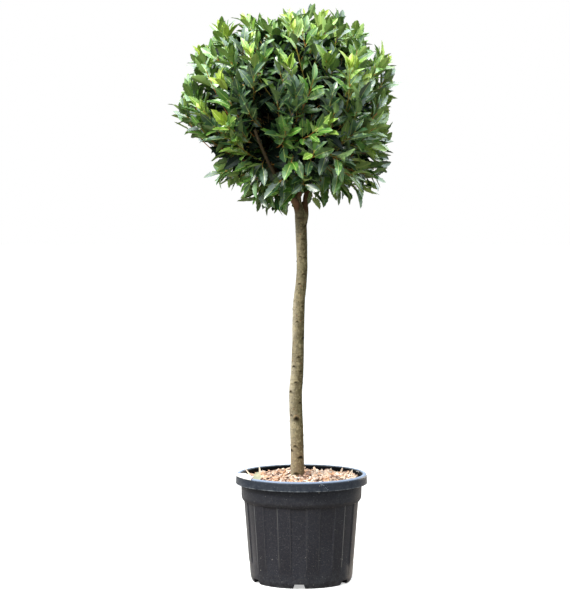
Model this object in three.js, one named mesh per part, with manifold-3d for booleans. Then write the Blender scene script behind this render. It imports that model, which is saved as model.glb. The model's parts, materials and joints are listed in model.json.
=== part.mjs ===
// A standard bay tree in a black nursery pot: a clear stem with a gentle bend, boughs that
// spring from its head in two whorls, and a clipped ball of leaves in eight masses.
// Millimetres, +Z up, front towards -Y. The origin is under the middle of the pot.
import * as THREE from 'three';
import { mergeVertices } from 'three/addons/utils/BufferGeometryUtils.js';
import Module from 'manifold-3d';

const wasm = await Module();
wasm.setup();

const gap = 0.3; // between pieces that touch
const limbRoom = 3; // round a limb that leaves grow past
const degree = Math.PI / 180;
const goldenAngle = Math.PI * (3 - Math.sqrt(5));
const up = new THREE.Vector3(0, 0, 1);

// The pot, a 25 litre container.
const pot = {
  height: 310,
  rimRadius: 190,
  rimDepth: 28,
  rimTop: 8, // thickness of the rolled rim over the channel under it
  rimWall: 3,
  bandRadius: 175,
  bandFoot: 232,
  baseRadius: 147.5, // of the plain wall, at wallFoot
  wallFoot: 12,
  taper: 0.08, // of the wall's radius, for each millimetre of height
  wall: 3,
  floorUnder: 13, // the floor is raised inside a skirt, with a pad in the middle
  floorThick: 5,
  padRadius: 38,
  skirtRadius: 137,
  panels: 12,
  panelShare: 0.5, // of each pitch that is a raised panel
  panelRise: 1.2,
  recessDepth: 1.8,
  panelFoot: 52,
  notches: 6,
  notchHeight: 13,
  notchTop: 26,
  notchBottom: 36,
  notchInner: 118,
  firstNotch: -93 * degree,
};

// What fills it.
const rootBall = { top: 274, side: 1.6 };
const mulch = { edge: 297, middle: 305.5, roughness: 3.5, hole: 26 };
const label = { from: 189 * degree, to: 221 * degree, thick: 1, drop: 7 };

// The trunk's middle line and radius at each height, from the cut at its foot to its head.
const trunk = {
  stations: [
    { z: rootBall.top + gap, x: -9.5, y: 0, r: 22.5 },
    { z: 288, x: -9.7, y: 0, r: 20.6 },
    { z: 312, x: -9.9, y: 0, r: 19.2 },
    { z: 374, x: -10.5, y: 1, r: 18.2 },
    { z: 432, x: -12.1, y: 2, r: 17.6 },
    { z: 500, x: -15.1, y: 3, r: 17.3 },
    { z: 545, x: -15.1, y: 3, r: 17.2 },
    { z: 600, x: -10.5, y: 2, r: 17 },
    { z: 665, x: -8.4, y: 0, r: 16.8 },
    { z: 751, x: -7.2, y: -3, r: 16.6 },
    { z: 809, x: -5.5, y: -4, r: 16.4 },
    { z: 853, x: -1.4, y: -4, r: 16.2 },
    { z: 900, x: 2.4, y: -3, r: 16.1 },
    { z: 960, x: 3.2, y: -1, r: 16.2 },
    { z: 1020, x: 1, y: 0, r: 16.8 },
    { z: 1056, x: -0.1, y: 0, r: 18.6 },
    { z: 1084, x: -0.9, y: 0, r: 21.4 },
    { z: 1112, x: -2.5, y: 0, r: 19.8 },
    { z: 1150, x: -5.5, y: 0, r: 14.4 },
  ],
  sides: 14,
};

// The crown: a ball a little squarer than a sphere, fuller at its lower right.
const crown = {
  centre: new THREE.Vector3(-38, 0, 1355),
  radii: new THREE.Vector3(322, 312, 298),
  power: 2.25,
  lowerSkew: 0.24,
  coreShare: 0.64, // of the reach in each direction
  coreBumps: 0.05,
  twigRoot: 0.57,
  twigTip: 0.758,
  limit: 1.03, // how far out a leaf may stand, where the ball is 1
};

// The hollow inside the masses, where the boughs fan out from the trunk's head.
const room = { radius: 114, neckRadius: 52, neckFoot: 1150, clear: 10 };

// Each mass lies in its own direction, seen from the crown's middle, at the tip of its bough.
// azimuth turns from +X towards +Y, and polar is measured from straight up.
const whorls = [
  { name: 'top', polars: [0], azimuths: [0], leave: 1150.3, lean: 0, r: 12.6, tip: 0.38 },
  {
    name: 'upper',
    parts: ['left', 'right', 'back'],
    polars: [60, 62, 62],
    azimuths: [206, 326, 86],
    leave: 1094,
    lean: 27,
    r: 11.2,
    tip: 0.41,
  },
  {
    name: 'lower',
    parts: ['left', 'front', 'right', 'back'],
    polars: [118, 120, 120, 120],
    azimuths: [176, 264, 352, 86],
    leave: 1068,
    lean: 56,
    r: 8.8,
    tip: 0.43,
  },
];
const bough = { tipShare: 0.56, sides: 8, rings: 6, reachOfBend: 0.42 };

// Leaves and twigs, the leaves larger than life because there are fewer.
const leaf = { length: 104, width: 39, thick: 1.6, fold: 5, droop: 7, apart: 36, lift: 0.06 };
const twig = { count: 84, radius: 4, leaves: 5, lift: 0.26, wander: 0.16 };

// A few shoots stand out past the rest, as on any crown some weeks after clipping.
const strays = [
  { azimuth: 300, polar: 17, extra: 1 },
  { azimuth: 178, polar: 98, extra: 1.13 },
  { azimuth: 352, polar: 70, extra: 1.1 },
  { azimuth: 205, polar: 157, extra: 1.03 },
  { azimuth: 262, polar: 168, extra: 1.02 },
];

const bark = new THREE.MeshStandardMaterial({ color: 0x8a8168, roughness: 0.85 });
const darkBark = new THREE.MeshStandardMaterial({ color: 0x6b5a46, roughness: 0.85 });
const blackPlastic = new THREE.MeshStandardMaterial({ color: 0x2f3034, roughness: 0.55 });
const compost = new THREE.MeshStandardMaterial({ color: 0x3a2a20, roughness: 1 });
const woodChip = new THREE.MeshStandardMaterial({ color: 0xc9a07c, roughness: 0.9 });
const whitePlastic = new THREE.MeshStandardMaterial({ color: 0xf2f2f0, roughness: 0.5 });
const bayLeaf = new THREE.MeshStandardMaterial({ color: 0x3f6b2c, roughness: 0.45 });

// A repeatable stream of numbers from 0 to 1.
function seeded(seed) {
  let state = seed;
  return () => {
    state = (state + 0x6d2b79f5) | 0;
    let t = Math.imul(state ^ (state >>> 15), 1 | state);
    t = (t + Math.imul(t ^ (t >>> 7), 61 | t)) ^ t;
    return ((t ^ (t >>> 14)) >>> 0) / 4294967296;
  };
}

// A number from -1 to 1 that changes smoothly over space, for bumps.
function ripple(p, wavelength) {
  const k = (2 * Math.PI) / wavelength;
  return (
    (Math.sin(p.x * k + 1.3 * Math.sin(p.y * k)) +
      Math.sin(p.y * k + 1.7 * Math.sin(p.z * k)) +
      Math.sin(p.z * k + 1.1 * Math.sin(p.x * k))) /
    3
  );
}

function direction(azimuthDegrees, polarDegrees) {
  const v = new THREE.Vector3();
  v.setFromSphericalCoords(1, polarDegrees * degree, azimuthDegrees * degree);
  return new THREE.Vector3(v.z, v.x, v.y);
}

// Solids to and from manifold-3d.
function solidOf(geometry) {
  const bare = geometry.clone();
  bare.deleteAttribute('normal');
  bare.deleteAttribute('uv');
  const merged = mergeVertices(bare, 1e-4);
  return new wasm.Manifold(
    new wasm.Mesh({
      numProp: 3,
      vertProperties: merged.attributes.position.array,
      triVerts: new Uint32Array(merged.index.array),
    }),
  );
}

function geometryOf(solid) {
  const mesh = solid.getMesh();
  const position = new Float32Array(mesh.numVert * 3);
  for (let i = 0; i < mesh.numVert; i++) {
    position.set(mesh.vertProperties.subarray(i * mesh.numProp, i * mesh.numProp + 3), i * 3);
  }
  const geometry = new THREE.BufferGeometry();
  geometry.setAttribute('position', new THREE.BufferAttribute(position, 3));
  geometry.setIndex(new THREE.BufferAttribute(mesh.triVerts, 1));
  geometry.computeVertexNormals();
  return geometry;
}

// The largest body of a solid: a loose scrap is dropped, and a hollow that fusing sealed is filled.
function wholeBody(solid) {
  return solid.decompose().reduce((a, b) => (b.volume() > a.volume() ? b : a));
}

function eachVertex(geometry, change) {
  const position = geometry.attributes.position;
  const p = new THREE.Vector3();
  for (let i = 0; i < position.count; i++) {
    p.fromBufferAttribute(position, i);
    change(p);
    position.setXYZ(i, p.x, p.y, p.z);
  }
  return geometry;
}

function named(name, geometry, material) {
  const mesh = new THREE.Mesh(geometry, material);
  mesh.name = name;
  return mesh;
}

// A solid of revolution about +Z from [radius, height] points.
function turned(profile, segments) {
  const points = profile.map(([r, z]) => new THREE.Vector2(r, z));
  return new THREE.LatheGeometry(points, segments).rotateX(Math.PI / 2);
}

// The pot.
function wallRadius(z) {
  return pot.baseRadius + pot.taper * (z - pot.wallFoot);
}

function potProfile() {
  const rimFoot = pot.height - pot.rimDepth;
  const floorTop = pot.floorUnder + pot.floorThick;
  return [
    [0, 0],
    [pot.padRadius, 0],
    [pot.padRadius + 2, pot.floorUnder],
    [pot.skirtRadius, pot.floorUnder],
    [pot.skirtRadius + 1, 0],
    [wallRadius(0) - 4, 0],
    [wallRadius(0) - 1, 3],
    [wallRadius(pot.wallFoot), pot.wallFoot],
    [wallRadius(pot.panelFoot), pot.panelFoot],
    [wallRadius(pot.panelFoot + 8), pot.panelFoot + 8],
    [wallRadius(pot.bandFoot - 1), pot.bandFoot - 1],
    [pot.bandRadius - 6, pot.bandFoot],
    [pot.bandRadius - 1.5, pot.bandFoot + 9],
    [pot.bandRadius, pot.height - pot.rimTop],
    [pot.rimRadius - 5, pot.height - pot.rimTop],
    [pot.rimRadius - pot.rimWall, rimFoot],
    [pot.rimRadius, rimFoot],
    [pot.rimRadius - 1.6, pot.height - 7],
    [pot.rimRadius - 4, pot.height - 1.8],
    [pot.rimRadius - 8, pot.height],
    [pot.bandRadius + 4, pot.height - 0.6],
    [pot.bandRadius - 0.5, pot.height - 4],
    [pot.bandRadius - 3, pot.bandFoot + 12],
    [wallRadius(pot.bandFoot) - pot.recessDepth - pot.wall, pot.bandFoot],
    [wallRadius(floorTop) - pot.recessDepth - pot.wall, floorTop],
    [0, floorTop],
  ];
}

// Four columns of the lathe fall on the edges of each raised panel.
function panelAngle(column) {
  const pitch = (2 * Math.PI) / pot.panels;
  const half = (pot.panelShare * pitch) / 2;
  const edges = [-half, -half + 1.6 * degree, half - 1.6 * degree, half];
  return Math.floor(column / 4) * pitch + edges[column % 4];
}

function ribbedPot() {
  const columns = pot.panels * 4;
  const geometry = turned(potProfile(), columns);
  eachVertex(geometry, (p) => {
    const radius = Math.hypot(p.x, p.y);
    if (radius < 1e-3) return;
    const turn = (Math.atan2(p.y, p.x) + 2 * Math.PI) % (2 * Math.PI);
    const column = Math.round(turn / ((2 * Math.PI) / columns)) % columns;
    const onPanel = column % 4 === 1 || column % 4 === 2;
    const ribbed = p.z > pot.panelFoot + 1 && p.z < pot.bandFoot - 0.5;
    const outside = radius > wallRadius(p.z) - 1;
    const change = ribbed && outside ? (onPanel ? pot.panelRise : -pot.recessDepth) : 0;
    const angle = panelAngle(column);
    p.x = (radius + change) * Math.cos(angle);
    p.y = (radius + change) * Math.sin(angle);
  });
  return solidOf(geometry);
}

function notchCutter(index) {
  const shape = new THREE.Shape([
    new THREE.Vector2(-pot.notchBottom / 2, -1),
    new THREE.Vector2(pot.notchBottom / 2, -1),
    new THREE.Vector2(pot.notchTop / 2, pot.notchHeight),
    new THREE.Vector2(-pot.notchTop / 2, pot.notchHeight),
  ]);
  const depth = pot.rimRadius - pot.notchInner;
  const cutter = new THREE.ExtrudeGeometry(shape, { depth, bevelEnabled: false, steps: 1 });
  cutter.rotateX(Math.PI / 2).translate(0, -pot.notchInner, 0);
  cutter.rotateZ(pot.firstNotch + Math.PI / 2 + (index * 2 * Math.PI) / pot.notches);
  return solidOf(cutter);
}

function makePot() {
  const notches = Array.from({ length: pot.notches }, (_, i) => notchCutter(i));
  const solid = ribbedPot().subtract(wasm.Manifold.union(notches));
  return named('pot', geometryOf(solid), blackPlastic);
}

// The root ball, the mulch on it and the blank label over the rim.
function innerRadius(z) {
  return wallRadius(z) - pot.recessDepth - pot.wall - rootBall.side;
}

function makeRootBall() {
  const foot = pot.floorUnder + pot.floorThick + gap;
  const profile = [
    [0, foot],
    [innerRadius(foot), foot],
    [innerRadius(pot.bandFoot), pot.bandFoot],
    [innerRadius(pot.bandFoot) + 8, pot.bandFoot + 14],
    [innerRadius(pot.bandFoot) + 9, rootBall.top],
    [0, rootBall.top],
  ];
  return named('root_ball', turned(profile, 32), compost);
}

function makeMulch() {
  const outer = pot.bandRadius - 4.5;
  const rings = 5;
  const profile = [[mulch.hole, rootBall.top + gap], [outer, rootBall.top + gap]];
  for (let i = 0; i <= rings; i++) {
    const share = i / rings;
    const z = mulch.edge + (mulch.middle - mulch.edge) * Math.sin((share * Math.PI) / 2);
    profile.push([outer + (mulch.hole - outer) * share, z]);
  }
  profile.push([mulch.hole, rootBall.top + gap]);
  const middle = trunk.stations[0];
  const random = seeded(11);
  const ring = geometryOf(solidOf(turned(profile, 32)));
  const geometry = eachVertex(ring, (p) => {
    if (p.z > mulch.edge - 1) p.z += (random() * 2 - 1) * mulch.roughness;
    const inward = 1 - (Math.hypot(p.x, p.y) - mulch.hole) / (outer - mulch.hole);
    p.x += middle.x * inward;
    p.y += middle.y * inward;
  });
  return named('mulch', geometry, woodChip);
}

function makeLabel() {
  const steps = 5;
  const shape = new THREE.Shape();
  const lift = pot.height + gap;
  const outer = pot.rimRadius + gap;
  shape.moveTo(pot.bandRadius + 1, lift);
  shape.lineTo(pot.rimRadius - 6, lift);
  shape.lineTo(outer, lift - 4);
  shape.lineTo(outer + gap, lift - label.drop);
  shape.lineTo(outer + gap + label.thick, lift - label.drop);
  shape.lineTo(outer + label.thick, lift - 3.5);
  shape.lineTo(pot.rimRadius - 5.6, lift + label.thick);
  shape.lineTo(pot.bandRadius + 1, lift + label.thick);
  const strip = new THREE.ExtrudeGeometry(shape, { depth: 1, steps, bevelEnabled: false });
  eachVertex(strip, (p) => {
    const angle = label.to + (label.from - label.to) * p.z;
    const radius = p.x;
    p.set(radius * Math.cos(angle), radius * Math.sin(angle), p.y);
  });
  return named('label', strip, whitePlastic);
}

// A tapering limb along a curve: a cylinder, bent.
function limbGeometry(curve, radiusAt, sides, rings) {
  const frames = curve.computeFrenetFrames(rings, false);
  const geometry = new THREE.CylinderGeometry(1, 1, 1, sides, rings);
  return eachVertex(geometry, (p) => {
    const share = p.y + 0.5;
    const ring = Math.round(share * rings);
    const middle = curve.getPointAt(share);
    const radius = radiusAt(share);
    const across = frames.normals[ring].clone().multiplyScalar(p.x * radius);
    const along = frames.binormals[ring].clone().multiplyScalar(-p.z * radius);
    p.copy(middle).add(across).add(along);
  });
}

// The trunk is one ring of points for each station, level at its foot and its head.
function trunkGeometry(grow = 0) {
  const rings = trunk.stations.length - 1;
  const geometry = new THREE.CylinderGeometry(1, 1, 1, trunk.sides, rings);
  geometry.rotateX(Math.PI / 2);
  return eachVertex(geometry, (p) => {
    const station = trunk.stations[Math.round((p.z + 0.5) * rings)];
    p.x = station.x + p.x * (station.r + grow);
    p.y = station.y + p.y * (station.r + grow);
    p.z = station.z;
  });
}

function trunkAt(z) {
  const i = Math.max(1, trunk.stations.findIndex((s) => s.z >= z));
  const [a, b] = [trunk.stations[i - 1], trunk.stations[i]];
  const t = (z - a.z) / (b.z - a.z);
  return new THREE.Vector3(a.x + (b.x - a.x) * t, a.y + (b.y - a.y) * t, z);
}

// How far the crown reaches from its middle in a direction.
function reach(d) {
  const { radii, power } = crown;
  const sum =
    Math.abs(d.x / radii.x) ** power +
    Math.abs(d.y / radii.y) ** power +
    Math.abs(d.z / radii.z) ** power;
  return sum ** (-1 / power) * (1 + crown.lowerSkew * d.x * Math.max(0, -d.z));
}

function inCrown(d, share) {
  return crown.centre.clone().addScaledVector(d, reach(d) * share);
}

// How far out a point is: 0 in the crown's middle, 1 on the ball.
function shareOf(p) {
  const out = p.clone().sub(crown.centre);
  return out.length() / reach(out.clone().normalize());
}

// The masses, each with its direction and the curve of its bough.
function listMasses() {
  return whorls.flatMap((whorl) =>
    whorl.polars.map((polar, i) => {
      const d = direction(whorl.azimuths[i], polar);
      const foot = trunkAt(Math.min(whorl.leave, 1150));
      foot.z = whorl.leave;
      const tip = inCrown(d, whorl.tip);
      const out = direction(whorl.azimuths[i], whorl.lean);
      const bend = foot.clone().addScaledVector(out, foot.distanceTo(tip) * bough.reachOfBend);
      return {
        name: whorl.parts ? whorl.name + '_' + whorl.parts[i] : whorl.name,
        direction: d,
        curve: new THREE.QuadraticBezierCurve3(foot, bend, tip),
        radius: whorl.r,
      };
    }),
  );
}

const masses = listMasses();

function boughRadius(mass, share) {
  return mass.radius * (1 - (1 - bough.tipShare) * share);
}

function boughSolid(mass, grow = 0) {
  const radiusAt = (share) => boughRadius(mass, share) + grow;
  return solidOf(limbGeometry(mass.curve, radiusAt, bough.sides, bough.rings));
}

const limbs = wasm.Manifold.union([
  solidOf(trunkGeometry(limbRoom)),
  ...masses.map((mass) => boughSolid(mass, limbRoom)),
]);

function makeTrunk() {
  return named('trunk', trunkGeometry(), bark);
}

function makeBough(mass) {
  const clear = solidOf(trunkGeometry(gap));
  const whole = boughSolid(mass);
  const solid = mass.name === 'top' ? whole : wholeBody(whole.subtract(clear));
  return named('bough_' + mass.name, geometryOf(solid), darkBark);
}

// A mass keeps to its own space: the part of the crown nearest its direction.
function ownSpace(mass, p, margin) {
  const out = p.clone().sub(crown.centre);
  return masses.every((other) => {
    if (other === mass) return true;
    const across = other.direction.clone().sub(mass.direction).normalize();
    return out.dot(across) <= -margin;
  });
}

function coreBall() {
  const ball = new THREE.IcosahedronGeometry(1, 3);
  const d = new THREE.Vector3();
  eachVertex(ball, (p) => {
    d.copy(p).normalize();
    const bumpy = 1 + crown.coreBumps * ripple(d, 0.9);
    p.copy(inCrown(d, crown.coreShare * bumpy));
  });
  return solidOf(ball);
}

function roomSolid() {
  const ball = new THREE.IcosahedronGeometry(room.radius, 2);
  ball.translate(crown.centre.x, crown.centre.y, crown.centre.z);
  const height = crown.centre.z - room.neckFoot;
  const neck = new THREE.CylinderGeometry(room.radius * 0.9, room.neckRadius, height, 12, 1);
  neck.rotateX(Math.PI / 2);
  eachVertex(neck, (p) => {
    const share = p.z / height + 0.5;
    p.x += crown.centre.x * share + trunkAt(1100).x * (1 - share);
    p.z += room.neckFoot + height / 2;
  });
  return solidOf(ball).add(solidOf(neck));
}

function inRoom(p, margin) {
  const near = p.distanceTo(crown.centre) < room.radius + margin;
  if (near || p.z > crown.centre.z) return near;
  const share = (p.z - room.neckFoot) / (crown.centre.z - room.neckFoot);
  const radius = room.neckRadius + (room.radius * 0.9 - room.neckRadius) * share;
  const x = crown.centre.x * share + trunkAt(1100).x * (1 - share);
  return Math.hypot(p.x - x, p.y) < radius + margin;
}

// A bay leaf along +X with its upper side up: a hexagon, folded along its rib.
function leafGeometry(length, width) {
  const geometry = new THREE.SphereGeometry(1, 6, 2);
  return eachVertex(geometry, (p) => {
    const onRib = Math.abs(p.z) < 0.1;
    const along = (p.x + 1) / 2;
    const share = onRib ? along : along < 0.5 ? 0.3 : 0.68;
    const side = onRib ? 0 : Math.sign(p.z) * (along < 0.5 ? 0.5 : 0.46);
    const height = p.y * (leaf.thick / 2) + (onRib ? 0 : leaf.fold) - leaf.droop * share ** 2;
    p.set(share * length, height, side * width);
  });
}

function leafSolid({ root, along, upper, length, width }) {
  const side = new THREE.Vector3().crossVectors(along, upper);
  const frame = new THREE.Matrix4().makeBasis(along, upper, side).setPosition(root);
  return leafGeometry(length, width).applyMatrix4(frame);
}

// Leaves stand round a twig, each with its upper side towards the twig's tip.
function placeLeaf(base, twigAlong, turn, spread, size, random) {
  const sideways = new THREE.Vector3(1, 0, 0).cross(twigAlong).normalize();
  sideways.applyAxisAngle(twigAlong, turn);
  const along = twigAlong.clone().multiplyScalar(Math.cos(spread));
  along.addScaledVector(sideways, Math.sin(spread)).normalize();
  const upper = twigAlong.clone().addScaledVector(along, -twigAlong.dot(along)).normalize();
  if (spread < 0.3) upper.lerp(up, 0.5).addScaledVector(along, -upper.dot(along)).normalize();
  const length = leaf.length * size * (0.88 + 0.24 * random());
  const width = leaf.width * size * (0.9 + 0.2 * random());
  return { root: base, along, upper, length, width };
}

function fits(mass, geometry, extra) {
  const position = geometry.attributes.position;
  const p = new THREE.Vector3();
  for (let i = 0; i < position.count; i++) {
    p.fromBufferAttribute(position, i);
    if (shareOf(p) > crown.limit * extra || !ownSpace(mass, p, 1)) return false;
  }
  return solidOf(geometry).intersect(limbs).isEmpty();
}

function growTwig(mass, d, extra, random, middles) {
  const root = inCrown(d, crown.twigRoot);
  const side = new THREE.Vector3(d.x, d.y, 0).normalize();
  while (inRoom(root, room.clear)) root.addScaledVector(side, 4);
  if (!ownSpace(mass, root, 6)) return [];
  const wander = () => (random() * 2 - 1) * twig.wander;
  const along = inCrown(d, crown.twigTip * extra).sub(root);
  const length = along.length() * (0.92 + 0.16 * random());
  along.normalize().addScaledVector(up, twig.lift * (d.z > -0.35 ? 1 : 0));
  along.add(new THREE.Vector3(wander(), wander(), wander())).normalize();
  const stalk = new THREE.ConeGeometry(twig.radius, length, 3, 1);
  stalk.rotateX(Math.PI / 2).translate(0, 0, length / 2);
  stalk.applyQuaternion(new THREE.Quaternion().setFromUnitVectors(up, along));
  stalk.translate(root.x, root.y, root.z);
  if (!fits(mass, stalk, extra)) return [];
  const grown = [stalk];
  let turn = random() * 2 * Math.PI;
  for (let i = 0; i < twig.leaves; i++) {
    const share = i / (twig.leaves - 1);
    const base = root.clone().addScaledVector(along, length * (0.4 + 0.56 * share));
    const spread = (64 - 42 * share) * degree;
    const size = 1.02 - 0.14 * share;
    for (let attempt = 0; attempt < 9; attempt++) {
      const narrow = spread * (attempt < 5 ? 1 : 0.6);
      const placed = placeLeaf(base, along, turn + attempt * 1.1, narrow, size, random);
      const middle = placed.root.clone().addScaledVector(placed.along, placed.length / 2);
      const tip = placed.root.clone().addScaledVector(placed.along, placed.length);
      if (middles.some((m) => m.distanceTo(middle) < leaf.apart)) continue;
      if (Math.min(shareOf(middle), shareOf(tip)) < crown.coreShare + leaf.lift) continue;
      const blade = leafSolid(placed);
      if (fits(mass, blade, extra)) {
        grown.push(blade);
        middles.push(middle);
        break;
      }
    }
    turn += goldenAngle;
  }
  return grown;
}

// Every twig's direction, spread evenly over the crown, and how far past the ball it may reach.
function twigDirections() {
  const even = Array.from({ length: twig.count }, (_, i) => {
    const z = 1 - (2 * (i + 0.5)) / twig.count;
    const ring = Math.sqrt(1 - z * z);
    const angle = i * goldenAngle + 0.7;
    return { d: new THREE.Vector3(ring * Math.cos(angle), ring * Math.sin(angle), z), extra: 1 };
  });
  const long = strays.map((s) => ({ d: direction(s.azimuth, s.polar), extra: s.extra }));
  return [...even, ...long];
}

const directions = twigDirections();
const ball = coreBall();
const hollow = roomSolid();

// A core in its own space: the ball, less the hollow and the limbs' way through it, cut by a
// plane towards each neighbour.
function coreOf(mass) {
  let core = ball.subtract(hollow).subtract(limbs);
  for (const other of masses) {
    if (other === mass) continue;
    const inward = mass.direction.clone().sub(other.direction).normalize();
    core = core.trimByPlane(inward.toArray(), inward.dot(crown.centre) + 1);
  }
  return wholeBody(core);
}

function stemOf(mass) {
  const outward = mass.curve.getTangentAt(1);
  const tip = mass.curve.getPointAt(1);
  const radius = boughRadius(mass, 1);
  const length = reach(mass.direction) * 0.2;
  const stem = new THREE.CylinderGeometry(radius * 0.7, radius, length, bough.sides, 1);
  stem.rotateX(Math.PI / 2).translate(0, 0, length / 2 + gap);
  stem.applyQuaternion(new THREE.Quaternion().setFromUnitVectors(up, outward));
  return solidOf(stem.translate(tip.x, tip.y, tip.z));
}

function makeFoliage(mass, index) {
  const random = seeded(100 + index);
  const middles = [];
  const grown = directions
    .filter(({ d }) => masses.every((m) => m.direction.dot(d) <= mass.direction.dot(d)))
    .flatMap(({ d, extra }) => growTwig(mass, d, extra, random, middles));
  const pieces = [coreOf(mass), stemOf(mass), ...grown.map(solidOf)];
  const solid = wholeBody(wasm.Manifold.union(pieces));
  return named('foliage_' + mass.name, geometryOf(solid), bayLeaf);
}

const tree = new THREE.Group();
tree.add(makePot(), makeRootBall(), makeMulch(), makeLabel(), makeTrunk());
tree.add(...masses.map(makeBough));
tree.add(...masses.map(makeFoliage));

export default tree;
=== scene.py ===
import json
import math
import random

import bpy
import numpy as np
from mathutils import Matrix, Vector, noise

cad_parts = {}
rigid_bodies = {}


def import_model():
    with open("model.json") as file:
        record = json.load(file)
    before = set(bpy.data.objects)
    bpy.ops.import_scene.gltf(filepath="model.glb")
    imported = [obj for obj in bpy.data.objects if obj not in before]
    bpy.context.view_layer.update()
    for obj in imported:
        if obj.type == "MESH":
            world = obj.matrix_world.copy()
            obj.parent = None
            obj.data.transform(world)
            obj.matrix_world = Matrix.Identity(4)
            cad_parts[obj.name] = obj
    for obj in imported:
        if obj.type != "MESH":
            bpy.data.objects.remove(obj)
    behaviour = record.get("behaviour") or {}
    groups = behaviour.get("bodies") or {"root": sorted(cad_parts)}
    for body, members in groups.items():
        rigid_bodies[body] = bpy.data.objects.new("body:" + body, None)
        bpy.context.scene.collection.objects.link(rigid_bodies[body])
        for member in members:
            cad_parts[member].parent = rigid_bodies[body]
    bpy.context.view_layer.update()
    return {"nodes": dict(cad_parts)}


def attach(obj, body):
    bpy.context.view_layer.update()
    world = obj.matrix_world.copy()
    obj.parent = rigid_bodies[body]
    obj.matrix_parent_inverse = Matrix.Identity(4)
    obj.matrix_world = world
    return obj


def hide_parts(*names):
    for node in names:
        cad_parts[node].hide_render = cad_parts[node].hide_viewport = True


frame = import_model()
up = Vector((0, 0, 1))
goldenAngle = math.pi * (3 - math.sqrt(5))


# Camera, sky, lights and floor.
stage = {
    "lens": 116.8,
    "camera": (-0.0477, -5.5, 1.1),
    "pitch": 2.87,  # degrees below level
    "zenith": (0.86, 0.94, 1.0),
    "horizon": (1.0, 0.985, 0.96),
    "skyStrength": (0.30, 1.15),  # at the horizon and overhead
    "sheen": (0.86, 0.95, 1.0),  # the sky as glossy leaves and plastic mirror it
    "sheenStrength": (1.0, 5.6),
    "floorRadius": 40.0,
    "floorSides": 96,
    "floorLevel": -0.0004,
    "floorSeen": 0.8,  # as the camera sees it
    "floorGlow": 0.5,
    "floorFelt": (0.24, 0.22, 0.20),  # as it lights the tree
}
lights = {
    # place, aim, size, watts, tone and spread in degrees
    "keyLight": ((-3.0, -2.6, 3.9), (0, 0, 1.2), 1.3, 250, (1, 0.98, 0.94), 180),
    "overhead": ((-0.4, -1.7, 4.8), (-0.04, 0, 1.3), 1.5, 156, (1, 1, 0.96), 180),
    "sideLeft": ((-2.3, 3.1, 0.5), (0, 0, 0.03), 0.3, 0.85, (1, 0.95, 0.88), 8),
    "sideRight": ((2.3, 3.1, 0.5), (0, 0, 0.03), 0.3, 1.05, (1, 0.86, 0.70), 8),
}


def addAreaLight(name, place, aim, size, power, tone, spread):
    data = bpy.data.lights.new(name, "AREA")
    data.shape = "DISK"
    data.size = size
    data.energy = power
    data.color = tone
    data.spread = math.radians(spread)
    lamp = bpy.data.objects.new(name, data)
    lamp.location = place
    lamp.rotation_euler = (Vector(aim) - Vector(place)).to_track_quat("-Z", "Y").to_euler()
    bpy.context.scene.collection.objects.link(lamp)


def makeSky():  # an overcast sky, white behind the tree
    world = bpy.data.worlds.new("sky")
    world.use_nodes = True
    nodes, links = world.node_tree.nodes, world.node_tree.links
    way = nodes.new("ShaderNodeTexCoord")
    split = nodes.new("ShaderNodeSeparateXYZ")
    path = nodes.new("ShaderNodeLightPath")
    links.new(way.outputs["Generated"], split.inputs[0])

    def dome(low, high, weak, strong, rise):
        height = nodes.new("ShaderNodeMapRange")
        height.interpolation_type = rise
        height.inputs["To Min"].default_value = weak
        height.inputs["To Max"].default_value = strong
        tone = nodes.new("ShaderNodeMix")
        tone.data_type = "RGBA"
        tone.inputs["A"].default_value = (*low, 1)
        tone.inputs["B"].default_value = (*high, 1)
        light = nodes.new("ShaderNodeBackground")
        links.new(split.outputs["Z"], height.inputs["Value"])
        links.new(split.outputs["Z"], tone.inputs["Factor"])
        links.new(tone.outputs["Result"], light.inputs["Color"])
        links.new(height.outputs["Result"], light.inputs["Strength"])
        return light.outputs[0]

    def choose(ray, usual, special):
        either = nodes.new("ShaderNodeMixShader")
        links.new(path.outputs[ray], either.inputs[0])
        links.new(usual, either.inputs[1])
        links.new(special, either.inputs[2])
        return either.outputs[0]

    soft = dome(stage["horizon"], stage["zenith"], *stage["skyStrength"], "LINEAR")
    mirrored = dome(stage["sheen"], stage["sheen"], *stage["sheenStrength"], "SMOOTHSTEP")
    seen = nodes["Background"]
    seen.inputs["Color"].default_value = (1, 1, 1, 1)
    lit = choose("Is Glossy Ray", soft, mirrored)
    links.new(choose("Is Camera Ray", lit, seen.outputs[0]), nodes["World Output"].inputs["Surface"])
    return world


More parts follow.
